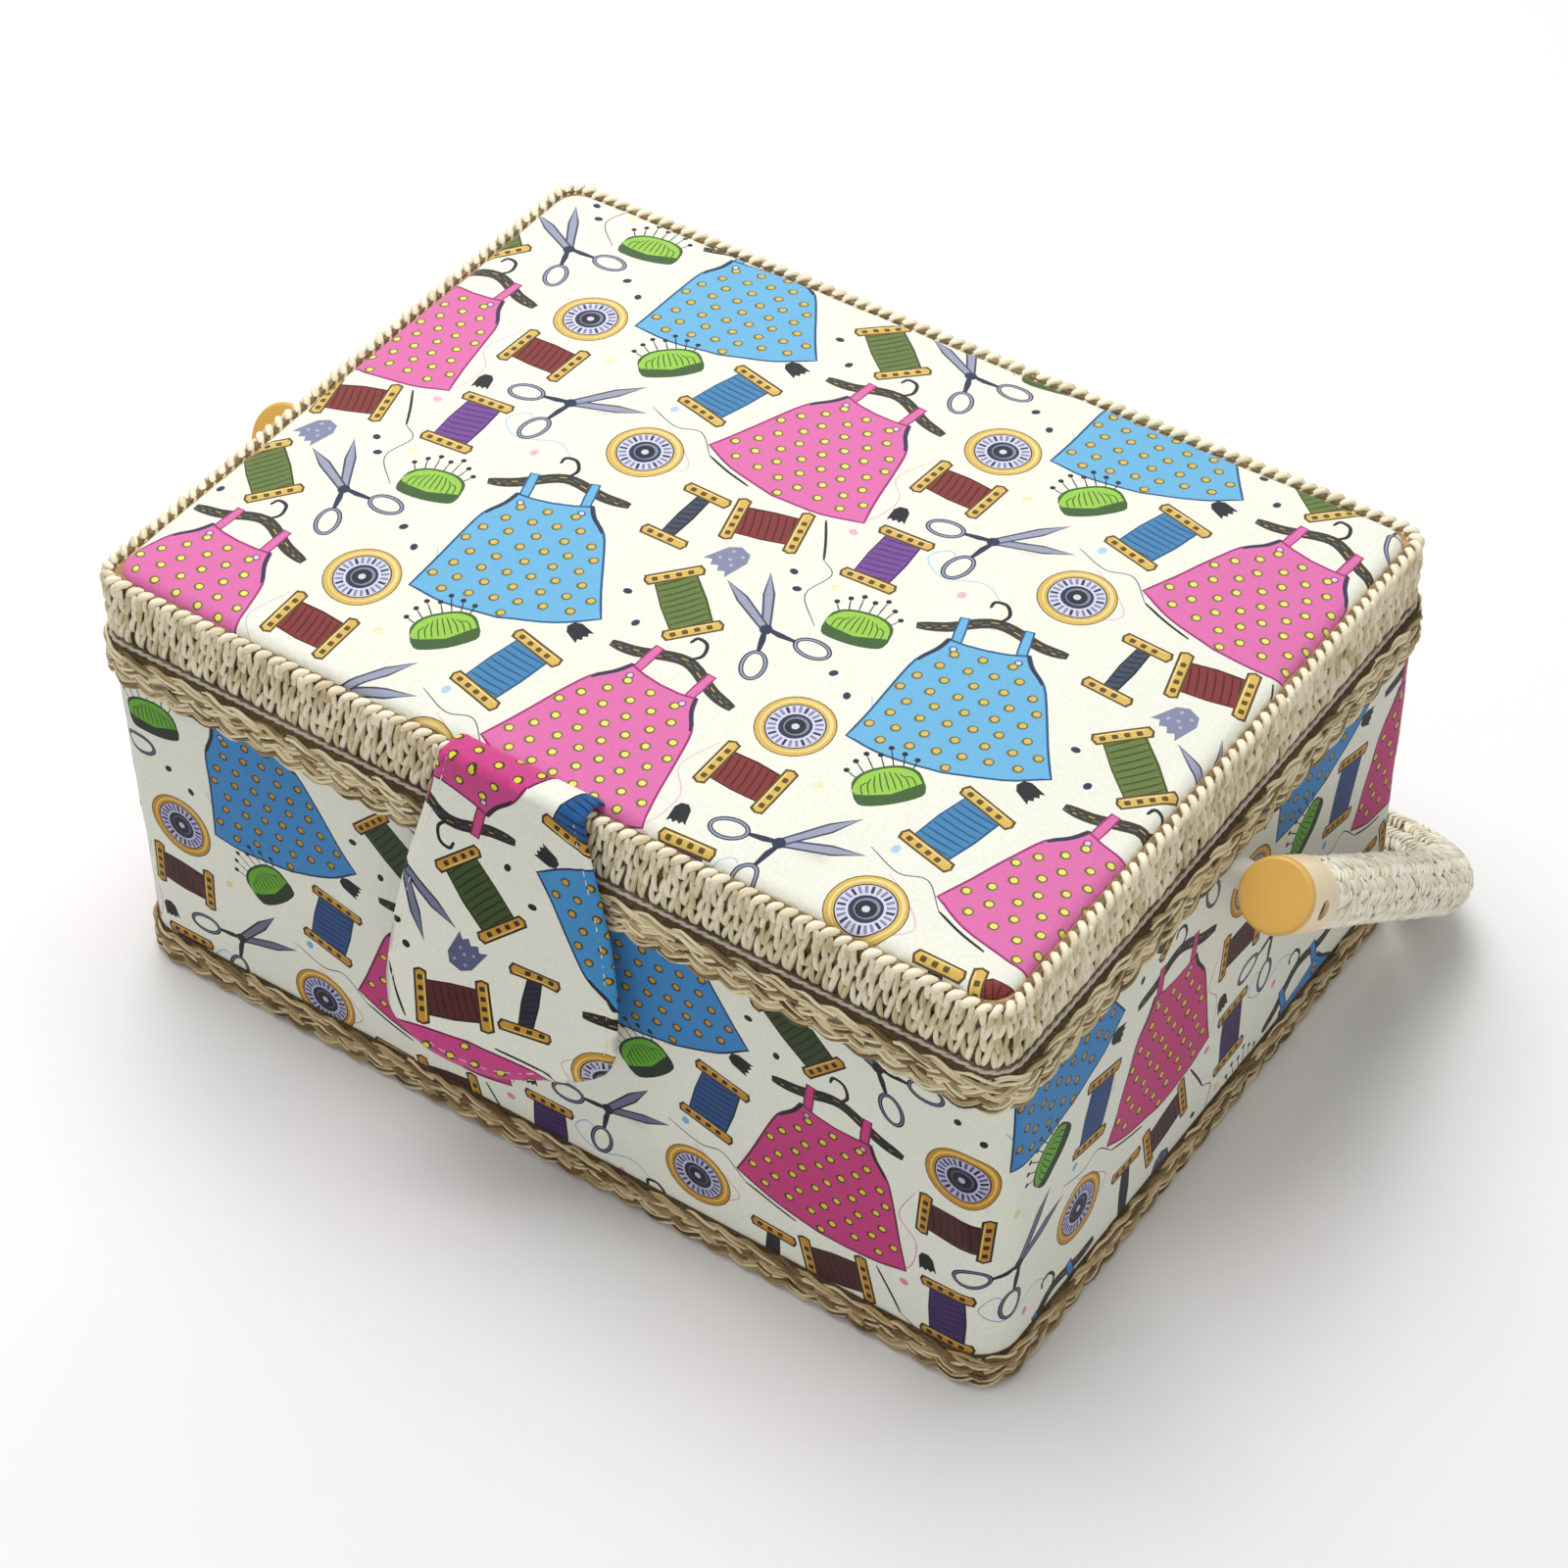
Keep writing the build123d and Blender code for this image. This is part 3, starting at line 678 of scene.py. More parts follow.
def link_mesh(name, mesh, material):
    """Smooth-shaded object of a finished mesh."""
    mesh.materials.append(material)
    mesh.polygons.foreach_set("use_smooth", np.ones(len(mesh.polygons), bool))
    obj = bpy.data.objects.new(name, mesh)
    bpy.context.collection.objects.link(obj)
    return obj


def link_work(name, work, material):
    """Smooth-shaded object of a finished bmesh."""
    mesh = bpy.data.meshes.new(name)
    work.to_mesh(mesh)
    work.free()
    return link_mesh(name, mesh, material)


def add_vectors(mesh, key, values):
    """Stores a named vector on every point of a mesh."""
    layer = mesh.attributes.new(key, "FLOAT_VECTOR", "POINT")
    layer.data.foreach_set("vector", np.asarray(values, np.float32).ravel())


def grid_faces(grid, upward=True):
    """Quads joining the points of a grid, facing up or down."""
    index = np.arange(grid.size).reshape(grid.shape)
    first, last = (index[1:, :-1], index[:-1, 1:]) if upward else (index[:-1, 1:], index[1:, :-1])
    return np.column_stack([g.ravel() for g in (index[:-1, :-1], first, index[1:, 1:], last)])


def flat_points(obj):
    """Vertex places of a mesh as an array."""
    values = np.empty(len(obj.data.vertices) * 3)
    obj.data.vertices.foreach_get("co", values)
    return values.reshape(-1, 3)


def set_points(obj, points):
    """Moves a mesh's vertices."""
    obj.data.vertices.foreach_set("co", np.asarray(points).ravel())
    obj.data.update()


def keep_flat(obj, flat):
    """Stores the flat cloth coordinate that the weave follows."""
    add_vectors(obj.data, "Flat", flat)


def ripple(a, b, seed):
    """Soft uneven waves for cloth, about -1 to 1."""
    return (np.sin(a * 0.071 + seed) * np.cos(b * 0.063 + 2 * seed) + 0.6 * np.sin(a * 0.19 - b * 0.13 + seed)
            + 0.35 * np.sin(a * 0.41 + b * 0.29 + 3 * seed)) / 1.95


# ---------------------------------------------------------------- printed pieces

def simulated_crown(half_x, half_y, step=7.0):
    """Cloth stretched over the pad and pushed up by pressure: heights from 0 to 1 on a grid."""
    nx, ny = round(2 * half_x / step) + 1, round(2 * half_y / step) + 1
    xs, ys = np.linspace(-half_x, half_x, nx), np.linspace(-half_y, half_y, ny)
    gx, gy = np.meshgrid(xs, ys, indexing="ij")
    dome = (1 - (gx / half_x) ** 2) * (1 - (gy / half_y) ** 2)
    points = np.column_stack((gx.ravel(), gy.ravel(), 2 * dome.ravel())) * MM
    sheet = make_mesh("crown_trial", points, grid_faces(gx), bpy.data.materials.new("trial"))
    edge = np.ones(gx.shape, bool)
    edge[1:-1, 1:-1] = False
    sheet.vertex_groups.new(name="pins").add(np.flatnonzero(edge).tolist(), 1.0, "REPLACE")
    cloth = sheet.modifiers.new("cloth", "CLOTH")
    cloth.settings.vertex_group_mass = "pins"
    cloth.settings.use_pressure = True
    cloth.settings.uniform_pressure_force = 4
    cloth.settings.tension_stiffness = 15
    cloth.settings.effector_weights.gravity = 0
    run_frames(20)
    shape = flat_points_evaluated(sheet)[:, 2].reshape(nx, ny)
    bpy.data.objects.remove(sheet)
    shape = np.clip(shape, 0, None)
    return xs, ys, shape / shape.max()


def run_frames(last):
    """Steps the simulation from its first frame."""
    scene = bpy.context.scene
    for number in range(1, last + 1):
        scene.frame_set(number)


def flat_points_evaluated(obj):
    """Vertex places after the object's modifiers."""
    result = obj.evaluated_get(bpy.context.evaluated_depsgraph_get())
    mesh = result.to_mesh()
    values = np.empty(len(mesh.vertices) * 3)
    mesh.vertices.foreach_get("co", values)
    result.to_mesh_clear()
    return values.reshape(-1, 3)


def grid_value(xs, ys, grid, x, y):
    """Bilinear value of a grid at points."""
    fx = np.clip((x - xs[0]) / (xs[1] - xs[0]), 0, len(xs) - 1.001)
    fy = np.clip((y - ys[0]) / (ys[1] - ys[0]), 0, len(ys) - 1.001)
    i, j = fx.astype(int), fy.astype(int)
    u, v = fx - i, fy - j
    return ((1 - u) * (1 - v) * grid[i, j] + u * (1 - v) * grid[i + 1, j]
            + (1 - u) * v * grid[i, j + 1] + u * v * grid[i + 1, j + 1])


def round_corners(x, y, half_x, half_y, corner):
    """Pulls the corners of a rectangle onto rounded corners."""
    cx, cy = half_x - corner, half_y - corner
    dx, dy = np.maximum(np.abs(x) - cx, 0), np.maximum(np.abs(y) - cy, 0)
    both = (dx > 0) & (dy > 0)
    size = np.hypot(dx, dy) + 1e-9
    factor = np.where(both, np.maximum(dx, dy) / size, 1)
    return (np.sign(x) * (np.minimum(np.abs(x), cx) + dx * factor),
            np.sign(y) * (np.minimum(np.abs(y), cy) + dy * factor))


def rolled(distance, half, roll):
    """Cloth rolling over an edge: place and drop for a flat distance from the middle."""
    angle = np.clip((distance - half + roll) / roll, 0, math.pi / 2)
    below = np.maximum(distance - half + roll - roll * math.pi / 2, 0)
    place = np.minimum(distance, half - roll) + roll * np.sin(angle)
    return place, roll * (1 - np.cos(angle)) + below


def lid_top(tile, made):
    """Printed cloth over the lid's pad, crowned and tucked into the rim's groove."""
    hx, hy, corner = PAD_HX * 1000 + 2.3, PAD_HY * 1000 + 2.3, PAD_CORNER * 1000
    roll, skirt = 3.4, 3.6
    extra = roll * (math.pi / 2 - 1) + skirt
    high = (hx + extra, hy + extra)
    folds = []
    for away in (1.6, 3.4, 4.6, 5.8, 7.2, 8.8, 11.2):
        folds += [((sign * (high[0] - away), 0), (1, 0)) for sign in (-1, 1)]
        folds += [((0, sign * (high[1] - away)), (0, 1)) for sign in (-1, 1)]
    # Lid inks lightened: painted light on the top.
    top = printed_flat("lid_cover_print", tile, (-high[0], -high[1]), high, (-7, 39), 7, LID_INK_PAINTED_LIGHT,
                       made["print"], folds)
    flat = flat_points(top)
    keep_flat(top, flat)
    u, v = flat[:, 0], flat[:, 1]
    x, drop_x = rolled(np.abs(u), hx, roll)
    y, drop_y = rolled(np.abs(v), hy, roll)
    x, y = round_corners(np.sign(u) * x, np.sign(v) * y, hx, hy, corner)
    xs, ys, grid = simulated_crown(hx, hy)
    edge, peak = PAD_TOP * 1000 - 5.0, PAD_TOP * 1000 + 0.6
    crown = edge + (peak - edge) * grid_value(xs, ys, grid, x, y)
    over = np.minimum(high[0] - np.abs(u), high[1] - np.abs(v))
    tucks = 0.35 * np.sin((x + y) / 3.3) * np.sin((x - y) / 4.1 + 1) * np.exp(-over / 9)
    z = crown - np.maximum(drop_x, drop_y) + tucks + 0.25 * ripple(x, y, 1.3)
    set_points(top, np.column_stack((x, y, z)) * MM)
    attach(top, "lid")
    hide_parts("lid_fabric_cover", "lid_foam_pad")


def body_wrap(tile, made):
    """Printed cloth round the four walls and over their top edge."""
    hx, hy, corner = BODY_HX * 1000, BODY_HY * 1000, BODY_CORNER * 1000
    length = girth(hx, hy, corner)
    top_z, over = BODY_TOP * 1000, 6.4
    start = -(2 * hy + hx - corner * 1.5)
    low, high = (start, 0.6), (start + length, top_z + over)
    folds = [((0, top_z + rise), (0, 1)) for rise in (-0.5, 0.5, 3)]
    bends = (start + corner * 0.1, -hx, hx, 2 * hy + hx - corner * 1.5, 2 * hy + 3 * hx - corner * 2)
    for middle in bends:
        folds += [((middle + step, 0), (1, 0)) for step in np.linspace(-corner * 1.7, corner * 1.7, 15)]
    # Wall inks deepened: painted shade on the upright walls.
    wrap = printed_flat("body_cover_print", tile, low, high, (96, 54.5), 4.2, WALL_INK_PAINTED_SHADE, made["print"], folds)
    flat = flat_points(wrap)
    keep_flat(wrap, flat)
    s, v = flat[:, 0], flat[:, 1]
    x, y, nx, ny = around(s, hx, hy, corner)
    inward = np.clip(v - (top_z - 0.2), 0, None)
    soft = np.clip((v - 16) / 20, 0, 1) * np.clip((110 - v) / 20, 0, 1)
    swell = 0.35 * ripple(s, v, 0.4) * soft - inward
    z = np.minimum(v, top_z - 0.2)
    set_points(wrap, np.column_stack((x + nx * swell, y + ny * swell, z)) * MM)
    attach(wrap, "box")
    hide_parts("body_fabric_cover")


TAB_FOLD = Vector((0, -0.1129, 0.1513))          # axis that the tab folds about


def tab_outline():
    """Tab cut from flat cloth (mm), from its root above 0 down to its round end."""
    side = smooth(((23.5, 11.5), (23.5, 0), (27.8, -20), (32.4, -42), (34.6, -62), (35.0, -78)), 3)
    end = smooth(((35.0, -78), (31.5, -88), (19, -97.5), (5, -101.6), (-5, -101.6), (-19, -97.5),
                  (-31.5, -88), (-35.0, -78)), 3)[1:-1]
    return np.vstack((side, end, (side * (-1, 1))[::-1]))[::-1]


def tab_middle(y):
    """Side profile of the tab's middle layer: depth and height for flat distance y from the fold."""
    lean = math.radians(9)
    fold_y, fold_z = TAB_FOLD.y * 1000, TAB_FOLD.z * 1000
    hang = [(fold_y - 1.9 - math.sin(lean) * d, fold_z - 1.5 - math.cos(lean) * d)
            for d in (0, 20, 45, 75, 104)]
    profile = smooth([(-105.0, 148.0), (-105.3, 150.4), (-107.4, 151.7), (-111.0, 152.0),
                      (-113.6, 151.6)] + hang, 10)
    along = np.r_[0, np.cumsum(np.hypot(*np.diff(profile, axis=0).T))]
    length = np.clip(11.5 - y, 0, along[-1])
    return np.interp(length, along, profile[:, 0]), np.interp(length, along, profile[:, 1])


def edge_distance(points, outline):
    """Distance of points to a closed outline."""
    best = np.full(len(points), 1e9)
    for a, b in zip(outline, np.roll(outline, -1, 0)):
        run = b - a
        t = np.clip(((points - a) @ run) / (run @ run + 1e-12), 0, 1)[:, None]
        best = np.minimum(best, np.linalg.norm(points - a - t * run, axis=1))
    return best


def tab_place(x, y, lift):
    """Tab's flat place and height above its middle layer, to the hanging, slightly twisted tab."""
    depth, height = tab_middle(y)
    ahead, above = tab_middle(y - 0.5)
    behind, below = tab_middle(y + 0.5)
    dy, dz = ahead - behind, above - below
    size = np.hypot(dy, dz) + 1e-9
    out_y, out_z = dz / size, -dy / size
    down = np.clip(-y / 75, 0, 1.3)
    side = np.clip((3 - x) / 32, -0.3, 1.1)
    twist = 8.5 * down ** 1.3 * side - 1.0 * down
    cup = 1.6 * (x / 27) ** 2 * np.clip(-y / 60, 0, 1)
    wave = 0.5 * np.sin(y / 15 + x / 40) * np.clip(-y / 30, 0, 1)
    lift = lift + wave
    return np.column_stack((x - 0.02 * twist * x / 27, depth + out_y * lift - twist + cup,
                            height + out_z * lift)) * MM


def closing_tab(tile, made):
    """The printed tab: two cloths held a thin filling's thickness apart, sewn round, bending at the lid's
    rim.
    """
    outline = tab_outline()
    folds = [((0, y), (0, 1)) for y in np.arange(-8, 12, 1.3)]
    # Tab inks deepened: painted shade on the hanging tab.
    front = printed_flat("closing_tab_print", tile, (-36, -103), (36, 11.5), (-11.5, 13.5), 180, TAB_INK_PAINTED_SHADE,
                         made["print"], folds, outline)
    flat = flat_points(front)
    inset_by = edge_distance(flat[:, :2], outline)
    root = np.clip((flat[:, 1] - 6) / 5, 0, 1)
    half = 1.1 * np.sqrt(np.clip(inset_by / 2.6, 0, 1)) * (1 - root * 0.55)
    half = half * (1 - 0.42 * np.exp(-((inset_by - 3.0) / 0.7) ** 2)) + 0.02
    upper = tab_place(flat[:, 0], flat[:, 1], half)
    lower = tab_place(flat[:, 0], flat[:, 1], -half)
    work = bmesh.new()
    work.from_mesh(front.data)
    copy = bmesh.ops.duplicate(work, geom=work.verts[:] + work.edges[:] + work.faces[:])
    back = [f for f in copy["geom"] if isinstance(f, bmesh.types.BMFace)]
    bmesh.ops.reverse_faces(work, faces=back)
    work.to_mesh(front.data)
    work.free()
    keep_flat(front, np.vstack((flat, flat)))
    set_points(front, np.vstack((upper, lower)))
    weld = bmesh.new()
    weld.from_mesh(front.data)
    bmesh.ops.remove_doubles(weld, verts=[v for v in weld.verts if v.is_boundary], dist=0.0001)
    weld.to_mesh(front.data)
    weld.free()
    bend_with_lid(front)
    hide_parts("closure_tab", "closure_tab_root")
    thread = stitches("tab_topstitch", outline, 3.0, made)
    bend_with_lid(thread)


def bend_with_lid(piece):
    """A piece of the tab, on the lid above the fold and on the tab below it: its placement is baked into its
    mesh, and it is not bent with the lid.
    """
    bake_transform(piece)


def stitches(name, outline, away, made):
    """Row of short thread stitches a little way in from the tab's edge."""
    line = inset(outline, away)
    if not inside(line[len(line) // 2:len(line) // 2 + 1], outline)[0]:
        line = inset(outline, -away)
    line = line[line[:, 1] < 4]
    start = int(np.argmax(np.hypot(*(line - np.roll(line, 1, 0)).T)))
    line = np.roll(line, -start, axis=0)
    along = np.r_[0, np.cumsum(np.hypot(*np.diff(line, axis=0).T))]
    starts = np.arange(1, along[-1] - 3, 3.1)
    paths, ups = [], []
    for begin in starts:
        spot = np.linspace(begin, begin + 2.0, 5)
        x, y = np.interp(spot, along, line[:, 0]), np.interp(spot, along, line[:, 1])
        arch = 0.62 + 0.16 * np.sin(np.linspace(0, math.pi, 5))
        low, high = tab_place(x, y, arch), tab_place(x, y, arch + 1)
        paths.append(low)
        ups.append(high - low)
    return strands(name, np.array(paths), np.array(ups), 0.0002, 0.00016, made["thread"], 5)


def hinge_strip(tile, made):
    """Printed cloth hinge at the rear, half on the lid and half on the body."""
    low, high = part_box("hinge_cloth")
    width, height = (high.x - low.x) * 1000, (high.z - low.z) * 1000
    folds = [((0, y), (0, 1)) for y in np.arange(1, height, 1.2)]
    # Hinge inks deepened like the walls: painted shade on the upright back.
    strip = printed_flat("hinge_strip_print", tile, (-width / 2, 0), (width / 2, height), (20, -30), 0,
                         WALL_INK_PAINTED_SHADE, made["print"], folds)
    flat = flat_points(strip)
    keep_flat(strip, flat)
    u, v = flat[:, 0], flat[:, 1]
    seam = (SEAM_Z - low.z) * 1000
    dip = -0.5 * np.exp(-((v - seam) / 2.2) ** 2) + 0.15 * ripple(u, v, 2)
    tuck = -0.9 * np.exp(-np.minimum(v, height - v) / 0.8)
    depth = np.full(len(u), high.y * 1000) + dip + tuck
    set_points(strip, np.column_stack((-u, depth, v + low.z * 1000)) * MM)
    thick = strip.modifiers.new("thick", "SOLIDIFY")
    thick.thickness = 0.0006
    thick.offset = -1
    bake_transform(strip)
    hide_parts("hinge_cloth")


# ---------------------------------------------------------------- raffia and thread

def strands(name, paths, ups, width, thick, material, sides=6, shade=None, backing=None,
            painted_gap_shade=0.05):
    """Many swept strands. paths and ups are (strand, step, 3); width and thick may vary along a strand."""
    count, steps, _ = paths.shape
    along = np.gradient(paths, axis=1)
    along /= np.linalg.norm(along, axis=2, keepdims=True) + 1e-12
    side = np.cross(along, ups)
    side /= np.linalg.norm(side, axis=2, keepdims=True) + 1e-12
    up = np.cross(side, along)
    width = np.broadcast_to(np.asarray(width, float), (count, steps))[:, :, None, None]
    thick = np.broadcast_to(np.asarray(thick, float), (count, steps))[:, :, None, None]
    a = np.linspace(0, 2 * math.pi, sides, endpoint=False)
    ring = (side[:, :, None] * np.cos(a)[None, None, :, None] * width
            + up[:, :, None] * np.sin(a)[None, None, :, None] * thick)
    points = (paths[:, :, None] + ring).reshape(-1, 3)
    base = (np.arange(count)[:, None, None] * steps + np.arange(steps - 1)[None, :, None]) * sides
    here, after = np.arange(sides)[None, None, :], np.roll(np.arange(sides), -1)[None, None, :]
    quads = np.stack((base + here, base + after, base + after + sides, base + here + sides), -1)
    faces = quads.reshape(-1, 4).tolist()
    first = (np.arange(count) * steps * sides)[:, None]
    faces += (first + np.arange(sides)[::-1]).tolist()
    faces += (first + (steps - 1) * sides + np.arange(sides)).tolist()
    if shade is None:
        shade = np.full(count, 0.6)
    tone = np.repeat(shade, steps * sides)
    travelled = np.cumsum(np.linalg.norm(np.diff(paths, axis=1, prepend=paths[:, :1]), axis=2), axis=1) * 1000
    fibre = np.stack((np.broadcast_to(travelled[:, :, None] * 0.10, (count, steps, sides)),
                      np.broadcast_to(np.sin(a) * 2.2, (count, steps, sides)),
                      np.broadcast_to(np.cos(a) * 2.2 + np.arange(count)[:, None, None] * 5.3,
                                      (count, steps, sides))), -1).reshape(-1, 3)
    strand = np.column_stack((tone, tone * 0, tone * 0))
    # Backing sheet under the strands, given a dark tone: painted shade seen in the gaps between strands.
    if backing is not None:
        more, more_faces = backing
        faces += (np.asarray(more_faces) + len(points)).tolist()
        points = np.vstack((points, more))
        strand = np.vstack((strand, np.full((len(more), 3), (painted_gap_shade, 0, 0))))
        fibre = np.vstack((fibre, np.asarray(more) * 900))
    mesh = bpy.data.meshes.new(name)
    mesh.from_pydata(points.tolist(), [], faces)
    add_vectors(mesh, "Strand", strand)
    add_vectors(mesh, "Fibre", fibre)
    return link_mesh(name, mesh, material)


def hoop(half_x, half_y, corner, heights, outs, step=4.0):
    """Closed band round a rounded rectangle: its section is given by heights and outward offsets (mm)."""
    length = girth(half_x, half_y, corner)
    count = round(length / step)
    s = np.arange(count) * length / count
    x, y, nx, ny = around(s, half_x, half_y, corner)
    rings = [np.column_stack((x + nx * out, y + ny * out, np.full(count, z)))
             for z, out in zip(heights, outs)]
    points = np.vstack(rings) * MM
    i = np.arange(count)
    j = np.roll(i, -1)
    faces = [np.column_stack((i + k * count, j + k * count, j + (k + 1) * count, i + (k + 1) * count))
             for k in range(len(rings) - 1)]
    flat = np.column_stack((np.tile(s, len(rings)), np.repeat(np.r_[0, np.cumsum(
        np.hypot(np.diff(heights), np.diff(outs)))], count), np.zeros(count * len(rings))))
    return points, np.vstack(faces), flat


def joined(rows):
    """Columns of a list of rows of arrays, each joined along its first axis."""
    return [np.concatenate(column) for column in zip(*rows)]


def band_paths(s, z, out, half_x, half_y, corner):
    """Places and outward directions for strand paths given round a band (mm in, metres out)."""
    x, y, nx, ny = around(s, half_x, half_y, corner)
    points = np.stack((x + nx * out, y + ny * out, z), -1) * MM
    return points, np.stack((nx, ny, np.zeros_like(nx)), -1)


def rim_crochet(made):
    """Lid rim: interlocking V stitches in rows under a row of plump loops laid over the edge."""
    rng = np.random.default_rng(5)
    hx, hy, corner = RIM_HX * 1000, RIM_HY * 1000, RIM_CORNER * 1000
    length = girth(hx, hy, corner)
    columns = round(length / 4.2)
    pitch = length / columns
    t = np.linspace(0, 1, 8)
    bottom, top = RIM_BOTTOM * 1000, RIM_TOP * 1000
    rows = []
    for row, z0 in enumerate((bottom - 0.1, bottom + 5.0, bottom + 10.1, bottom + 14.4)):
        for leg in (-1, 1):
            base = (np.arange(columns) + 0.5 * (row % 2) * 0.5) * pitch
            base = base + rng.normal(0, 0.32, columns)
            reach = 8.0 + rng.normal(0, 0.5, columns)
            lean = 1.1 + rng.normal(0, 0.45, columns)
            spread = leg * (0.30 + 1.35 * t)
            s = base[:, None] + spread[None] + lean[:, None] * t[None]
            z = z0 + reach[:, None] * t[None] ** 0.9
            z = np.minimum(z, top - 2.2)
            out = -1.7 + 1.25 * np.sin(math.pi * t ** 0.8)[None] + rng.normal(0, 0.16, columns)[:, None]
            points, normals = band_paths(s, z, out, hx, hy, corner)
            swell = 0.35 + 0.65 * np.sin(math.pi * np.clip(t * 0.94 + 0.05, 0, 1)) ** 0.7
            rows.append((points, normals, np.outer(rng.uniform(0.80, 1.08, columns), swell) * MM,
                         np.outer(rng.uniform(0.72, 0.98, columns), swell) * MM,
                         rng.uniform(0.52, 0.92, columns)))
    # Dark backing band behind the stitches: painted shade in the gaps between them.
    backing = hoop(hx, hy, corner, (bottom + 0.2, bottom + 0.2, top - 2.0, top - 1.4, top - 1.4, top - 3.4),
                   (-2.4, -1.7, -1.7, -2.2, -3.8, -4.0))[:2]
    paths, ups, widths, thicks, shades = joined(rows)
    rim = strands("lid_rim_crochet", paths, ups, widths, thicks, made["raffia"], 6, shades, backing,
                  painted_gap_shade=0.16)
    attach(rim, "lid")
    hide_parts("lid_rim_braid")
    base = np.arange(columns) * pitch + rng.normal(0, 0.15, columns)
    t = np.linspace(0, 1, 11)
    high = top - 1.25 + rng.normal(0, 0.12, columns)
    drop = np.interp(t, (0, 0.15, 0.3, 0.5, 0.7, 0.85, 1), (2.6, 1.3, 0.45, 0, 0.3, 1.0, 2.0))
    z = high[:, None] - drop[None]
    s = base[:, None] + 4.6 * (t[None] - 0.5)
    out = np.interp(t, (0, 0.3, 0.5, 0.75, 1), (-0.9, -0.75, -1.7, -3.0, -4.0))[None] + np.zeros_like(s)
    points, normals = band_paths(s, z, out, hx, hy, corner)
    tilt = np.interp(t, (0, 0.35, 0.65, 1), (0.25, 1.2, 1.6, 0.9))
    outward = np.interp(t, (0, 0.4, 1), (1, 0.5, -0.6))
    normals = normals * outward[None, :, None] + np.array((0, 0, 1)) * tilt[None, :, None]
    swell = 0.45 + 0.55 * np.sin(math.pi * np.clip(t, 0.03, 0.97)) ** 0.7
    edge = strands("lid_rim_edging", points, normals, np.outer(rng.uniform(1.15, 1.4, columns), swell) * MM,
                   np.outer(rng.uniform(0.95, 1.2, columns), swell) * MM, made["raffia"], 7,
                   rng.uniform(0.72, 1.0, columns))
    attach(edge, "lid")


def seam_cord(made):
    """Thin two-ply cord round the bottom of the lid's rim."""
    hx, hy, _, _ = (v * 1000 for v in half_sizes("lid_rim_cord"))
    corner = RIM_CORNER * 1000 + 0.4
    z0 = sum(half_sizes("lid_rim_cord")[2:]) / 2 * 1000
    length = girth(hx, hy, corner)
    turns = round(length / 7)
    s = np.linspace(0, length, 900)
    a = 2 * math.pi * turns * s / length + np.array(((0,), (math.pi,)))
    paths, ups = band_paths(np.stack((s, s)), z0 + 0.32 * np.sin(a), -0.55 + 0.3 * np.cos(a), hx, hy, corner)
    # Dark backing band behind the cord: painted shade around the cord.
    backing = hoop(hx, hy, corner, (z0 - 0.75, z0 - 0.75, z0 + 0.75, z0 + 0.75), (-2.6, -0.7, -0.7, -2.6))[:2]
    cord = strands("lid_seam_cord", paths, ups, 0.00062, 0.0005, made["cord"], 6, np.array((0.5, 0.62)),
                   backing)
    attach(cord, "lid")
    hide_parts("lid_rim_cord")


def plait(name, node, half_x, half_y, corner, low, high, material, seed, rise_above=0.0,
          repeat=50.0):
    """Flat five-strand plait round the body; every strand is a bundle of fibres."""
    rng = np.random.default_rng(seed)
    hx, hy, corner = half_x * 1000, half_y * 1000, corner * 1000
    z0, z1 = low * 1000, high * 1000 + rise_above
    length = girth(hx, hy, corner)
    repeat = length / round(length / repeat)
    steps = round(length / 1.75)
    s = np.linspace(0, length, steps)
    bundles, fibres, spread = 5, 4, 0.98
    amplitude = (z1 - z0) / 2 - 1.9
    rows = []
    for strand in range(bundles):
        phase = 2 * math.pi * s / repeat + strand * 2 * math.pi / bundles
        rise = amplitude * np.arcsin(0.97 * np.sin(phase)) / math.asin(0.97)
        slope = np.gradient(rise, s)
        lean = 1 / np.hypot(1, slope)
        for fibre in range(fibres):
            across = (fibre - (fibres - 1) / 2) * spread
            wobble = 0.22 * np.sin(s * 2 * math.pi * 37 / length + fibre * 1.9 + strand) \
                + 0.2 * np.sin(s * 2 * math.pi * 91 / length + fibre * 2.7 + strand * 1.3)
            shift = across + wobble
            z = (z0 + z1) / 2 + rise + shift * lean
            out = -1.2 + 0.5 * np.sin((bundles - 1) * phase) + 0.3 * math.cos(across * 1.1) \
                + 0.16 * np.sin(s * 2 * math.pi * 53 / length + fibre * 2.2 + strand)
            points, normals = band_paths((s - shift * slope * lean)[None], z[None], out[None], hx, hy, corner)
            rows.append((points, normals, rng.uniform(0.10, 0.95, 1), rng.uniform(0.48, 0.72, 1) * MM,
                         rng.uniform(0.40, 0.55, 1) * MM))
    # Dark backing band behind the plait: painted shade in the gaps between its strands.
    backing = hoop(hx, hy, corner, (z0 + 1, z0 + 1, z1 + 0.1, z1 + 0.1), (-2.3, -1.4, -1.4, -2.5))[:2]
    paths, ups, shades, widths, thicks = joined(rows)
    braid = strands(name, paths, ups, widths[:, None], thicks[:, None], material, 6, shades, backing)
    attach(braid, "box")
    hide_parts(node)
    return braid


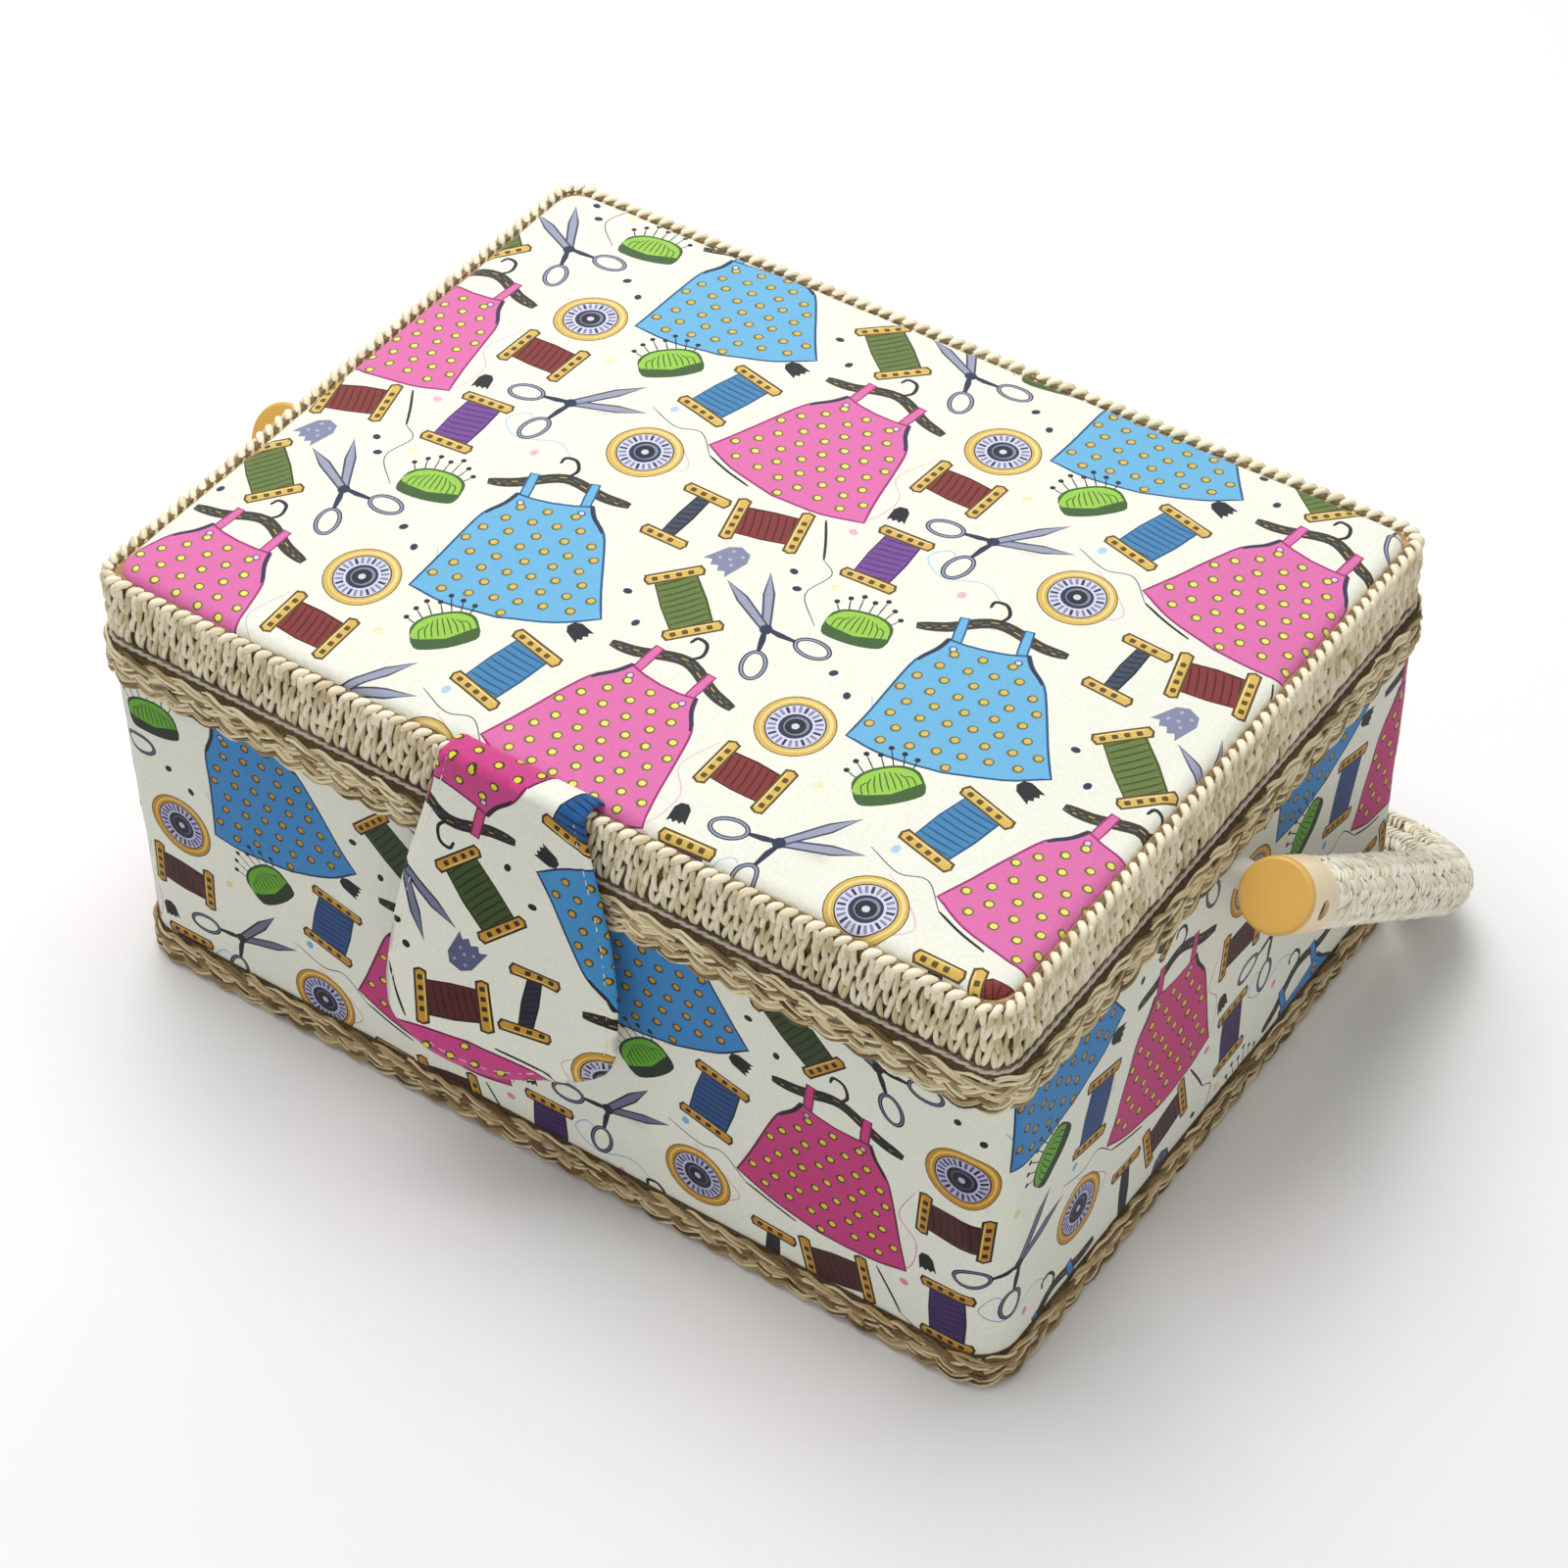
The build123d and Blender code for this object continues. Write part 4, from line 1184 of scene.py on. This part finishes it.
def handle_winding(made):
    """Raffia wound over the handle's core in small herringbone stitches."""
    rng = np.random.default_rng(9)
    pivot = Vector((0.170, 0, HANDLE_PIVOT_Z))
    radius, bend = 10.0, 35.0
    grip_y, grip_z = 0.12495, 0.0104          # axis of the grip, resting behind the box
    droop = math.atan2(pivot.z - grip_z, grip_y)
    along = np.array((0, math.cos(droop), -math.sin(droop)))
    across = np.array((1.0, 0, 0))
    arm = math.hypot(grip_y, pivot.z - grip_z) * 1000
    first = 9.0
    arc = bend * math.pi / 2
    straight, grip = arm - bend - first, 2 * (pivot.x * 1000 - bend)
    total = 2 * straight + 2 * arc + grip

    def centre(l):
        """Place and heading on the handle's centre line at distance l from the right sleeve."""
        l = np.asarray(l, float)
        a = np.clip((l - straight) / bend, 0, math.pi / 2)
        b = np.clip((l - straight - arc - grip) / bend, 0, math.pi / 2)
        run = np.clip(l - straight - arc, 0, grip)
        back = np.clip(l - straight - 2 * arc - grip, 0, None)
        x = pivot.x * 1000 - bend * (1 - np.cos(a)) - run - bend * np.sin(b)
        d = first + np.clip(l, None, straight) + bend * np.sin(a) - bend * (1 - np.cos(b)) - back
        heading = a + b
        return x, d, -np.sin(heading), np.cos(heading)

    def surface(l, angle, r):
        x, d, hx, hd = centre(l)
        place = x[..., None] * across + d[..., None] * along + np.array(pivot) * (0, 1000, 1000)
        side = hd[..., None] * across - hx[..., None] * along
        top = np.cross(across, along)
        normal = np.cos(angle)[..., None] * side + np.sin(angle)[..., None] * top
        return (place + normal * r[..., None]) * MM, normal

    rows = round(total / 2.2)
    t = np.linspace(0, 1, 5)
    l0, a0 = np.meshgrid(np.linspace(-1.0, total - 3.4, rows), np.arange(8) * 2 * math.pi / 8, indexing="ij")
    turns = []
    for leg in (-1, 1):
        start = l0.ravel() + rng.normal(0, 0.25, l0.size)
        turn = a0.ravel() + rng.normal(0, 0.06, l0.size)
        l = start[:, None] + 3.6 * t[None]
        angle = turn[:, None] + leg * (-0.05 + 0.52 * t[None])
        r = radius - 1.1 + 0.6 * np.sin(math.pi * t ** 0.8)[None] + rng.normal(0, 0.12, l0.size)[:, None]
        points, normals = surface(np.clip(l, 0, total), angle, r)
        swell = 0.4 + 0.6 * np.sin(math.pi * np.clip(t, 0.05, 0.95)) ** 0.7
        turns.append((points, normals, np.outer(rng.uniform(0.68, 0.95, l0.size), swell) * MM,
                      np.outer(rng.uniform(0.5, 0.7, l0.size), swell) * MM, rng.uniform(0.48, 1.0, l0.size)))
    # Dark sheet under the winding: painted shade in the gaps between its stitches.
    stations, ring = np.meshgrid(np.linspace(0, total, 240), np.arange(14) * 2 * math.pi / 14, indexing="ij")
    under, _ = surface(stations, ring, np.full(stations.shape, radius - 1.3))
    index = np.arange(240 * 14).reshape(240, 14)
    after = np.roll(index, -1, axis=1)
    quads = np.column_stack((index[:-1].ravel(), after[:-1].ravel(), after[1:].ravel(), index[1:].ravel()))
    paths, ups, widths, thicks, shades = joined(turns)
    wound = strands("handle_raffia_winding", paths, ups, widths, thicks, made["raffia_pale"], 5, shades,
                    (under.reshape(-1, 3), quads), painted_gap_shade=0.15)
    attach(wound, "handle")
    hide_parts("handle_wrap")


# ---------------------------------------------------------------- inside of the box

def body_lining(made):
    """Cotton lining of the room: up the walls and turned in under the top edge."""
    low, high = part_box("floor_pad")
    hx, hy, corner = high.x * 1000 + 0.25, high.y * 1000 + 0.25, 5.4
    foot, top = low.z * 1000 + 0.4, BODY_TOP * 1000 - 1.0
    heights = [foot, foot + 3, 40, 75, 100, top - 2, top, top - 0.3]
    outs = [0, 0, 0, 0, 0, 0, 0.4, 1.2]
    points, faces, flat = hoop(hx, hy, corner, heights, outs, 2.5)
    lining = make_mesh("body_lining_cloth", points, faces[:, ::-1], made["lining"], [("Flat", flat)])
    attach(lining, "box")
    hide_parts("body_lining")


def swollen(obj, voxel, pressure, cap):
    """Remeshes a pad, inflates it as cloth and keeps the result, with no point moved more than cap."""
    remesh = obj.modifiers.new("remesh", "REMESH")
    remesh.mode = "VOXEL"
    remesh.voxel_size = voxel
    apply_modifiers(obj)
    before = flat_points(obj)
    cloth = obj.modifiers.new("cloth", "CLOTH")
    cloth.settings.use_pressure = True
    cloth.settings.uniform_pressure_force = pressure
    cloth.settings.effector_weights.gravity = 0
    run_frames(20)
    moved = flat_points_evaluated(obj) - before
    obj.modifiers.clear()
    size = np.linalg.norm(moved, axis=1, keepdims=True)
    set_points(obj, before + moved * np.minimum(1, cap / (size + 1e-9)))
    soft = obj.modifiers.new("soft", "SUBSURF")
    soft.levels = soft.render_levels = 1
    apply_modifiers(obj)
    keep_flat(obj, flat_points(obj) * 1000)
    obj.data.polygons.foreach_set("use_smooth", np.ones(len(obj.data.polygons), bool))


def apply_modifiers(obj):
    """Replaces a mesh by its evaluated result."""
    result = obj.evaluated_get(bpy.context.evaluated_depsgraph_get())
    mesh = bpy.data.meshes.new_from_object(result)
    obj.modifiers.clear()
    obj.data = mesh


def cushion_block(name, low, high, material, corner):
    """Closed rounded block in metres, ready to be swollen."""
    work = bmesh.new()
    bmesh.ops.create_cube(work, size=1)
    middle, size = (low + high) / 2, high - low
    for vert in work.verts:
        vert.co = Vector((vert.co.x * size.x, vert.co.y * size.y, vert.co.z * size.z)) + middle
    upright = [e for e in work.edges if abs(e.verts[0].co.z - e.verts[1].co.z) > 1e-5]
    bmesh.ops.bevel(work, geom=upright, offset=corner, segments=5, profile=0.5, affect="EDGES")
    return link_work(name, work, material)


def floor_cushion(made):
    """Thin padded floor, quilted in squares."""
    low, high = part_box("floor_pad")
    pad = cushion_block("floor_pad_cloth", low + Vector((0.0008, 0.0008, 0)),
                        high - Vector((0.0008, 0.0008, 0.0004)), made["lining"], 0.005)
    swollen(pad, 0.0026, 2.0, 0.0006)
    points = flat_points(pad)
    upper = points[:, 2] > (low.z + high.z) / 2
    seam = 0
    for axis in (0, 1):
        away = np.abs((points[:, axis] * 1000 + 24) % 48 - 24)
        seam = np.maximum(seam, np.exp(-(away / 2.4) ** 2))
    points[upper, 2] -= 0.0013 * seam[upper]
    points[:, 2] = np.clip(points[:, 2], low.z, high.z + 0.0003)
    set_points(pad, points)
    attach(pad, "box")
    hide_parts("floor_pad")


def lid_inside(made):
    """Lining stretched over the lid's underside and down the frame, a gathered pocket and a pincushion."""
    low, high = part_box("lid_lining")
    hx, hy, corner = high.x * 1000 - 0.05, high.y * 1000 - 0.05, 4.0
    ceiling, lip = low.z * 1000, RIM_BOTTOM * 1000 - 0.5
    xs, ys = np.linspace(-hx, hx, 90), np.linspace(-hy, hy, 66)
    gx, gy = np.meshgrid(xs, ys, indexing="ij")
    faces = grid_faces(gx, upward=False)
    rx, ry = round_corners(gx.ravel(), gy.ravel(), hx, hy, corner)
    rise = ceiling + 0.15 + 0.12 * ripple(rx, ry, 3)
    panel = np.column_stack((rx, ry, rise)) * MM
    flat = np.column_stack((rx, ry, rx * 0))
    wall, wall_faces, wall_flat = hoop(hx - 0.1, hy - 0.1, corner, (ceiling, 134.0, lip, lip + 0.2),
                                       (0, 0, 0, 0.5), 3)
    lining = make_mesh("lid_lining_cloth", np.vstack((panel, wall)),
                       faces.tolist() + (wall_faces[:, ::-1] + len(panel)).tolist(), made["lining"],
                       [("Flat", np.vstack((flat, wall_flat)))])
    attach(lining, "lid")
    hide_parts("lid_lining")
    low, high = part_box("lid_pocket")
    us, vs = np.linspace(0, 1, 150), np.linspace(0, 1, 34)
    gu, gv = np.meshgrid(us, vs, indexing="ij")
    gather = np.sin(gu * 2 * math.pi * 17 + 0.7 * np.sin(gu * 11)) * (0.25 + 0.75 * gv ** 2)
    belly = np.sin(math.pi * gu) ** 0.4 * np.sin(math.pi * (0.08 + 0.72 * gv)) ** 0.6
    elastic = np.exp(-((gv - 0.93) / 0.03) ** 2)
    depth = (0.2 + 1.5 * belly + 0.55 * gather * np.sin(math.pi * np.clip(gu, 0.02, 0.98)) ** 0.2
             - 0.8 * elastic * belly)
    depth = np.clip(depth, 0.15, 2.5) * np.clip(gu * 30, 0, 1) * np.clip((1 - gu) * 30, 0, 1) + 0.1
    points = np.stack((low.x + gu * (high.x - low.x), high.y - gv * (high.y - low.y),
                       high.z - depth * MM), -1)
    flat = np.stack((gu * 230, gv * 90, gu * 0), -1).reshape(-1, 3)
    pocket = make_mesh("lid_pocket_cloth", points.reshape(-1, 3), grid_faces(gu), made["pocket"],
                       [("Flat", flat)])
    thick = pocket.modifiers.new("thick", "SOLIDIFY")
    thick.thickness = 0.0005
    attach(pocket, "lid")
    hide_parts("lid_pocket")
    tufted_pincushion(made)


def tufted_pincushion(made):
    """Round pad under the lid, swollen, drawn in by thread at its middle and along eight creases."""
    low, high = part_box("lid_pincushion")
    middle = (low + high) / 2
    radius, height = (high.x - low.x) / 2, high.z - low.z
    a = np.linspace(0, 2 * math.pi, 64, endpoint=False)
    rings = ((0.90, 0.0), (0.97, 0.14), (1.0, 0.4), (0.97, 0.68), (0.86, 0.86), (0.6, 0.97), (0.3, 1.0))
    points = [(middle.x + radius * 0.97 * r * math.cos(t), middle.y + radius * 0.97 * r * math.sin(t),
               high.z - h * height * 0.94) for r, h in rings for t in a]
    points += [(middle.x, middle.y, high.z), (middle.x, middle.y, high.z - height * 0.94)]
    count = len(a)
    faces = [(k * count + i, k * count + (i + 1) % count, (k + 1) * count + (i + 1) % count,
              (k + 1) * count + i) for k in range(len(rings) - 1) for i in range(count)]
    work = bmesh.new()
    verts = [work.verts.new(p) for p in points]
    for face in faces:
        work.faces.new([verts[k] for k in face])
    for i in range(count):
        work.faces.new((verts[i], verts[-2], verts[(i + 1) % count]))
        last = (len(rings) - 1) * count
        work.faces.new((verts[last + i], verts[last + (i + 1) % count], verts[-1]))
    bmesh.ops.recalc_face_normals(work, faces=work.faces)
    pad = link_work("lid_pincushion_cloth", work, made["pink"])
    swollen(pad, 0.0024, 3.0, 0.0010)
    points = flat_points(pad)
    dx, dy = points[:, 0] - middle.x, points[:, 1] - middle.y
    r, angle = np.hypot(dx, dy) / radius, np.arctan2(dy, dx)
    off_seam = np.abs(np.mod(angle * 8 / (2 * math.pi) + 0.5, 1) - 0.5)
    crease = np.exp(-((off_seam * 2 * math.pi / 8 * r * radius * 1000) / 1.1) ** 2)
    tuft = np.exp(-(r / 0.16) ** 2)
    raised = np.clip((high.z - points[:, 2]) / height, 0, 1)
    points[:, 2] += raised * (crease * np.clip(r * 3, 0, 1) * 0.0014 + tuft * 0.0032)
    drawn_in = (1 - 0.035 * crease * raised)[:, None]
    points[:, :2] = np.array((middle.x, middle.y)) + np.column_stack((dx, dy)) * drawn_in
    points[:, 2] = np.clip(points[:, 2], low.z - 0.0002, high.z)
    set_points(pad, points)
    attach(pad, "lid")
    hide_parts("lid_pincushion")
    t = np.linspace(0.06, 1.0, 16)
    crossing = np.arange(8) * math.pi / 4
    x = middle.x + radius * 0.955 * np.cos(crossing)[:, None] * t[None]
    y = middle.y + radius * 0.955 * np.sin(crossing)[:, None] * t[None]
    drop = np.where(t < 0.8, 0.96 - 0.14 * (t / 0.8) ** 3, 0.82 - 0.62 * ((t - 0.8) / 0.2) ** 1.6) - 0.1
    z = np.broadcast_to(high.z - height * drop, x.shape)
    threads = strands("lid_pincushion_thread", np.stack((x, y, z), -1),
                      np.broadcast_to((0.0, 0.0, -1.0), (8, 16, 3)), 0.0004, 0.00035, made["thread"], 6)
    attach(threads, "lid")


def base_underside(made):
    """Felted cloth under the base, turned up at its edge."""
    _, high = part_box("base_cloth")
    hx, hy = high.x * 1000, high.y * 1000
    xs, ys = np.linspace(-hx, hx, 60), np.linspace(-hy, hy, 44)
    gx, gy = np.meshgrid(xs, ys, indexing="ij")
    rx, ry = round_corners(gx.ravel(), gy.ravel(), hx, hy, 11.2)
    near = np.minimum(hx - np.abs(gx.ravel()), hy - np.abs(gy.ravel()))
    z = 0.12 + 0.5 * np.exp(-near / 1.5) + 0.06 * (1 + ripple(rx, ry, 5))
    faces = grid_faces(gx, upward=False)
    flat = np.column_stack((rx, ry, rx * 0))
    cloth = make_mesh("base_underside_cloth", np.column_stack((rx, ry, z)) * MM, faces, made["felt"],
                      [("Flat", flat)])
    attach(cloth, "box")
    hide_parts("base_cloth")


# ---------------------------------------------------------------- hard parts

def moulded(name, colour, roughness, speckle=0.04, grain=900.0):
    """Moulded plastic: faint cloudiness, fine surface grain and soft gloss."""
    material = plain_material(name, colour, roughness)
    n = Nodes(material)
    cloud = n.noise(n.position(), 60.0, 3.0)
    tint = n.ramp(cloud, ((0.3, tuple(c * (1 - 2 * speckle) for c in colour)),
                          (0.7, tuple(min(1, c * (1 + speckle)) for c in colour))))
    n.link(tint, n.shader.inputs["Base Color"])
    gloss = n.noise(n.position(), 120.0, 4.0)
    n.link(n.math("ADD", n.math("MULTIPLY", gloss, 0.2), roughness - 0.1), n.shader.inputs["Roughness"])
    n.bump(n.noise(n.position(), grain, 2.0), 0.00003, 0.35)
    return material


def metal(name, colour, roughness):
    """Turned metal with fine scratches."""
    material = moulded(name, colour, roughness, 0.08, 1500.0)
    material.node_tree.nodes["Principled BSDF"].inputs["Metallic"].default_value = 1.0
    return material


def board_material():
    """Pressed fibreboard: short fibres in several browns."""
    material = plain_material("fibreboard_raw", linear("A8855A"), 0.85)
    n = Nodes(material)
    fibres = n.noise(n.position(), 700.0, 4.0, 0.7)
    clumps = n.noise(n.position(), 90.0, 3.0)
    mixed = n.math("ADD", n.math("MULTIPLY", fibres, 0.6), n.math("MULTIPLY", clumps, 0.4))
    colour = n.ramp(mixed, ((0.32, linear("7A5A36")), (0.5, linear("A8855A")), (0.68, linear("C9AB80"))))
    n.link(colour, n.shader.inputs["Base Color"])
    n.bump(fibres, 0.0002, 0.5)
    return material


def finish_cad(made):
    """Gives each CAD part that stays visible its finished material."""
    finishes = {
        "handle_core": "core", "handle_sleeve": "cream", "handle_plug": "amber", "pivot_spacer": "clear",
        "pivot_screws": "bronze", "pivot_nuts": "steel", "snap": "steel", "tray_left_divider": "divider",
        "tray_right_divider": "divider", "tray": "tray", "front": "board", "rear": "board",
        "left": "board", "right": "board", "base_board": "board", "lid_frame": "board", "lid_board": "board",
    }
    for node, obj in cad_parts.items():
        for prefix, finish in finishes.items():
            if node.startswith(prefix):
                for slot in obj.material_slots:
                    slot.material = made[finish]
                break


def add_hard_materials(made):
    """Materials for the moulded, metal and board parts."""
    for key, name, code, *finish in (("cream", "cream_sleeve_plastic", "F3DDB2", 0.42),
                                     ("amber", "amber_cap_plastic", "DDAE55", 0.4),
                                     ("divider", "divider_plastic", "EFEDE4", 0.35, 0.012),
                                     ("tray", "tray_cream_plastic", "F0EBDC", 0.36, 0.012),
                                     ("core", "core_plastic_raw", "C9B48A", 0.5),
                                     ("clear", "clear_spacer_plastic", "F4F4F0", 0.15)):
        made[key] = moulded(name, linear(code), *finish)
    made["clear"].node_tree.nodes["Principled BSDF"].inputs["Transmission Weight"].default_value = 0.2
    made["bronze"] = metal("bronze_screw_metal", linear("7A5428"), 0.38)
    made["steel"] = metal("steel_fitting_metal", linear("C8CACC"), 0.28)
    made["board"] = board_material()


# ---------------------------------------------------------------- scene

def build():
    """Everything, camera first."""
    make_camera()
    make_studio()
    made = make_materials()
    add_hard_materials(made)
    finish_cad(made)
    tile = make_tile()
    lid_top(tile, made)
    body_wrap(tile, made)
    closing_tab(tile, made)
    hinge_strip(tile, made)
    rim_crochet(made)
    seam_cord(made)
    top = plait("body_top_plait", "body_top_braid", PLAIT_HX, PLAIT_HY, BODY_CORNER + 0.0025,
                PLAIT_BOTTOM - 0.0004, PLAIT_TOP, made["plait"], 3, rise_above=1.3)
    foot = plait("base_plait", "base_braid", FOOT_HX, FOOT_HY, BODY_CORNER + 0.0022, 0.0003,
                 FOOT_TOP, made["foot"], 4)
    handle_winding(made)
    body_lining(made)
    floor_cushion(made)
    lid_inside(made)
    base_underside(made)


build()
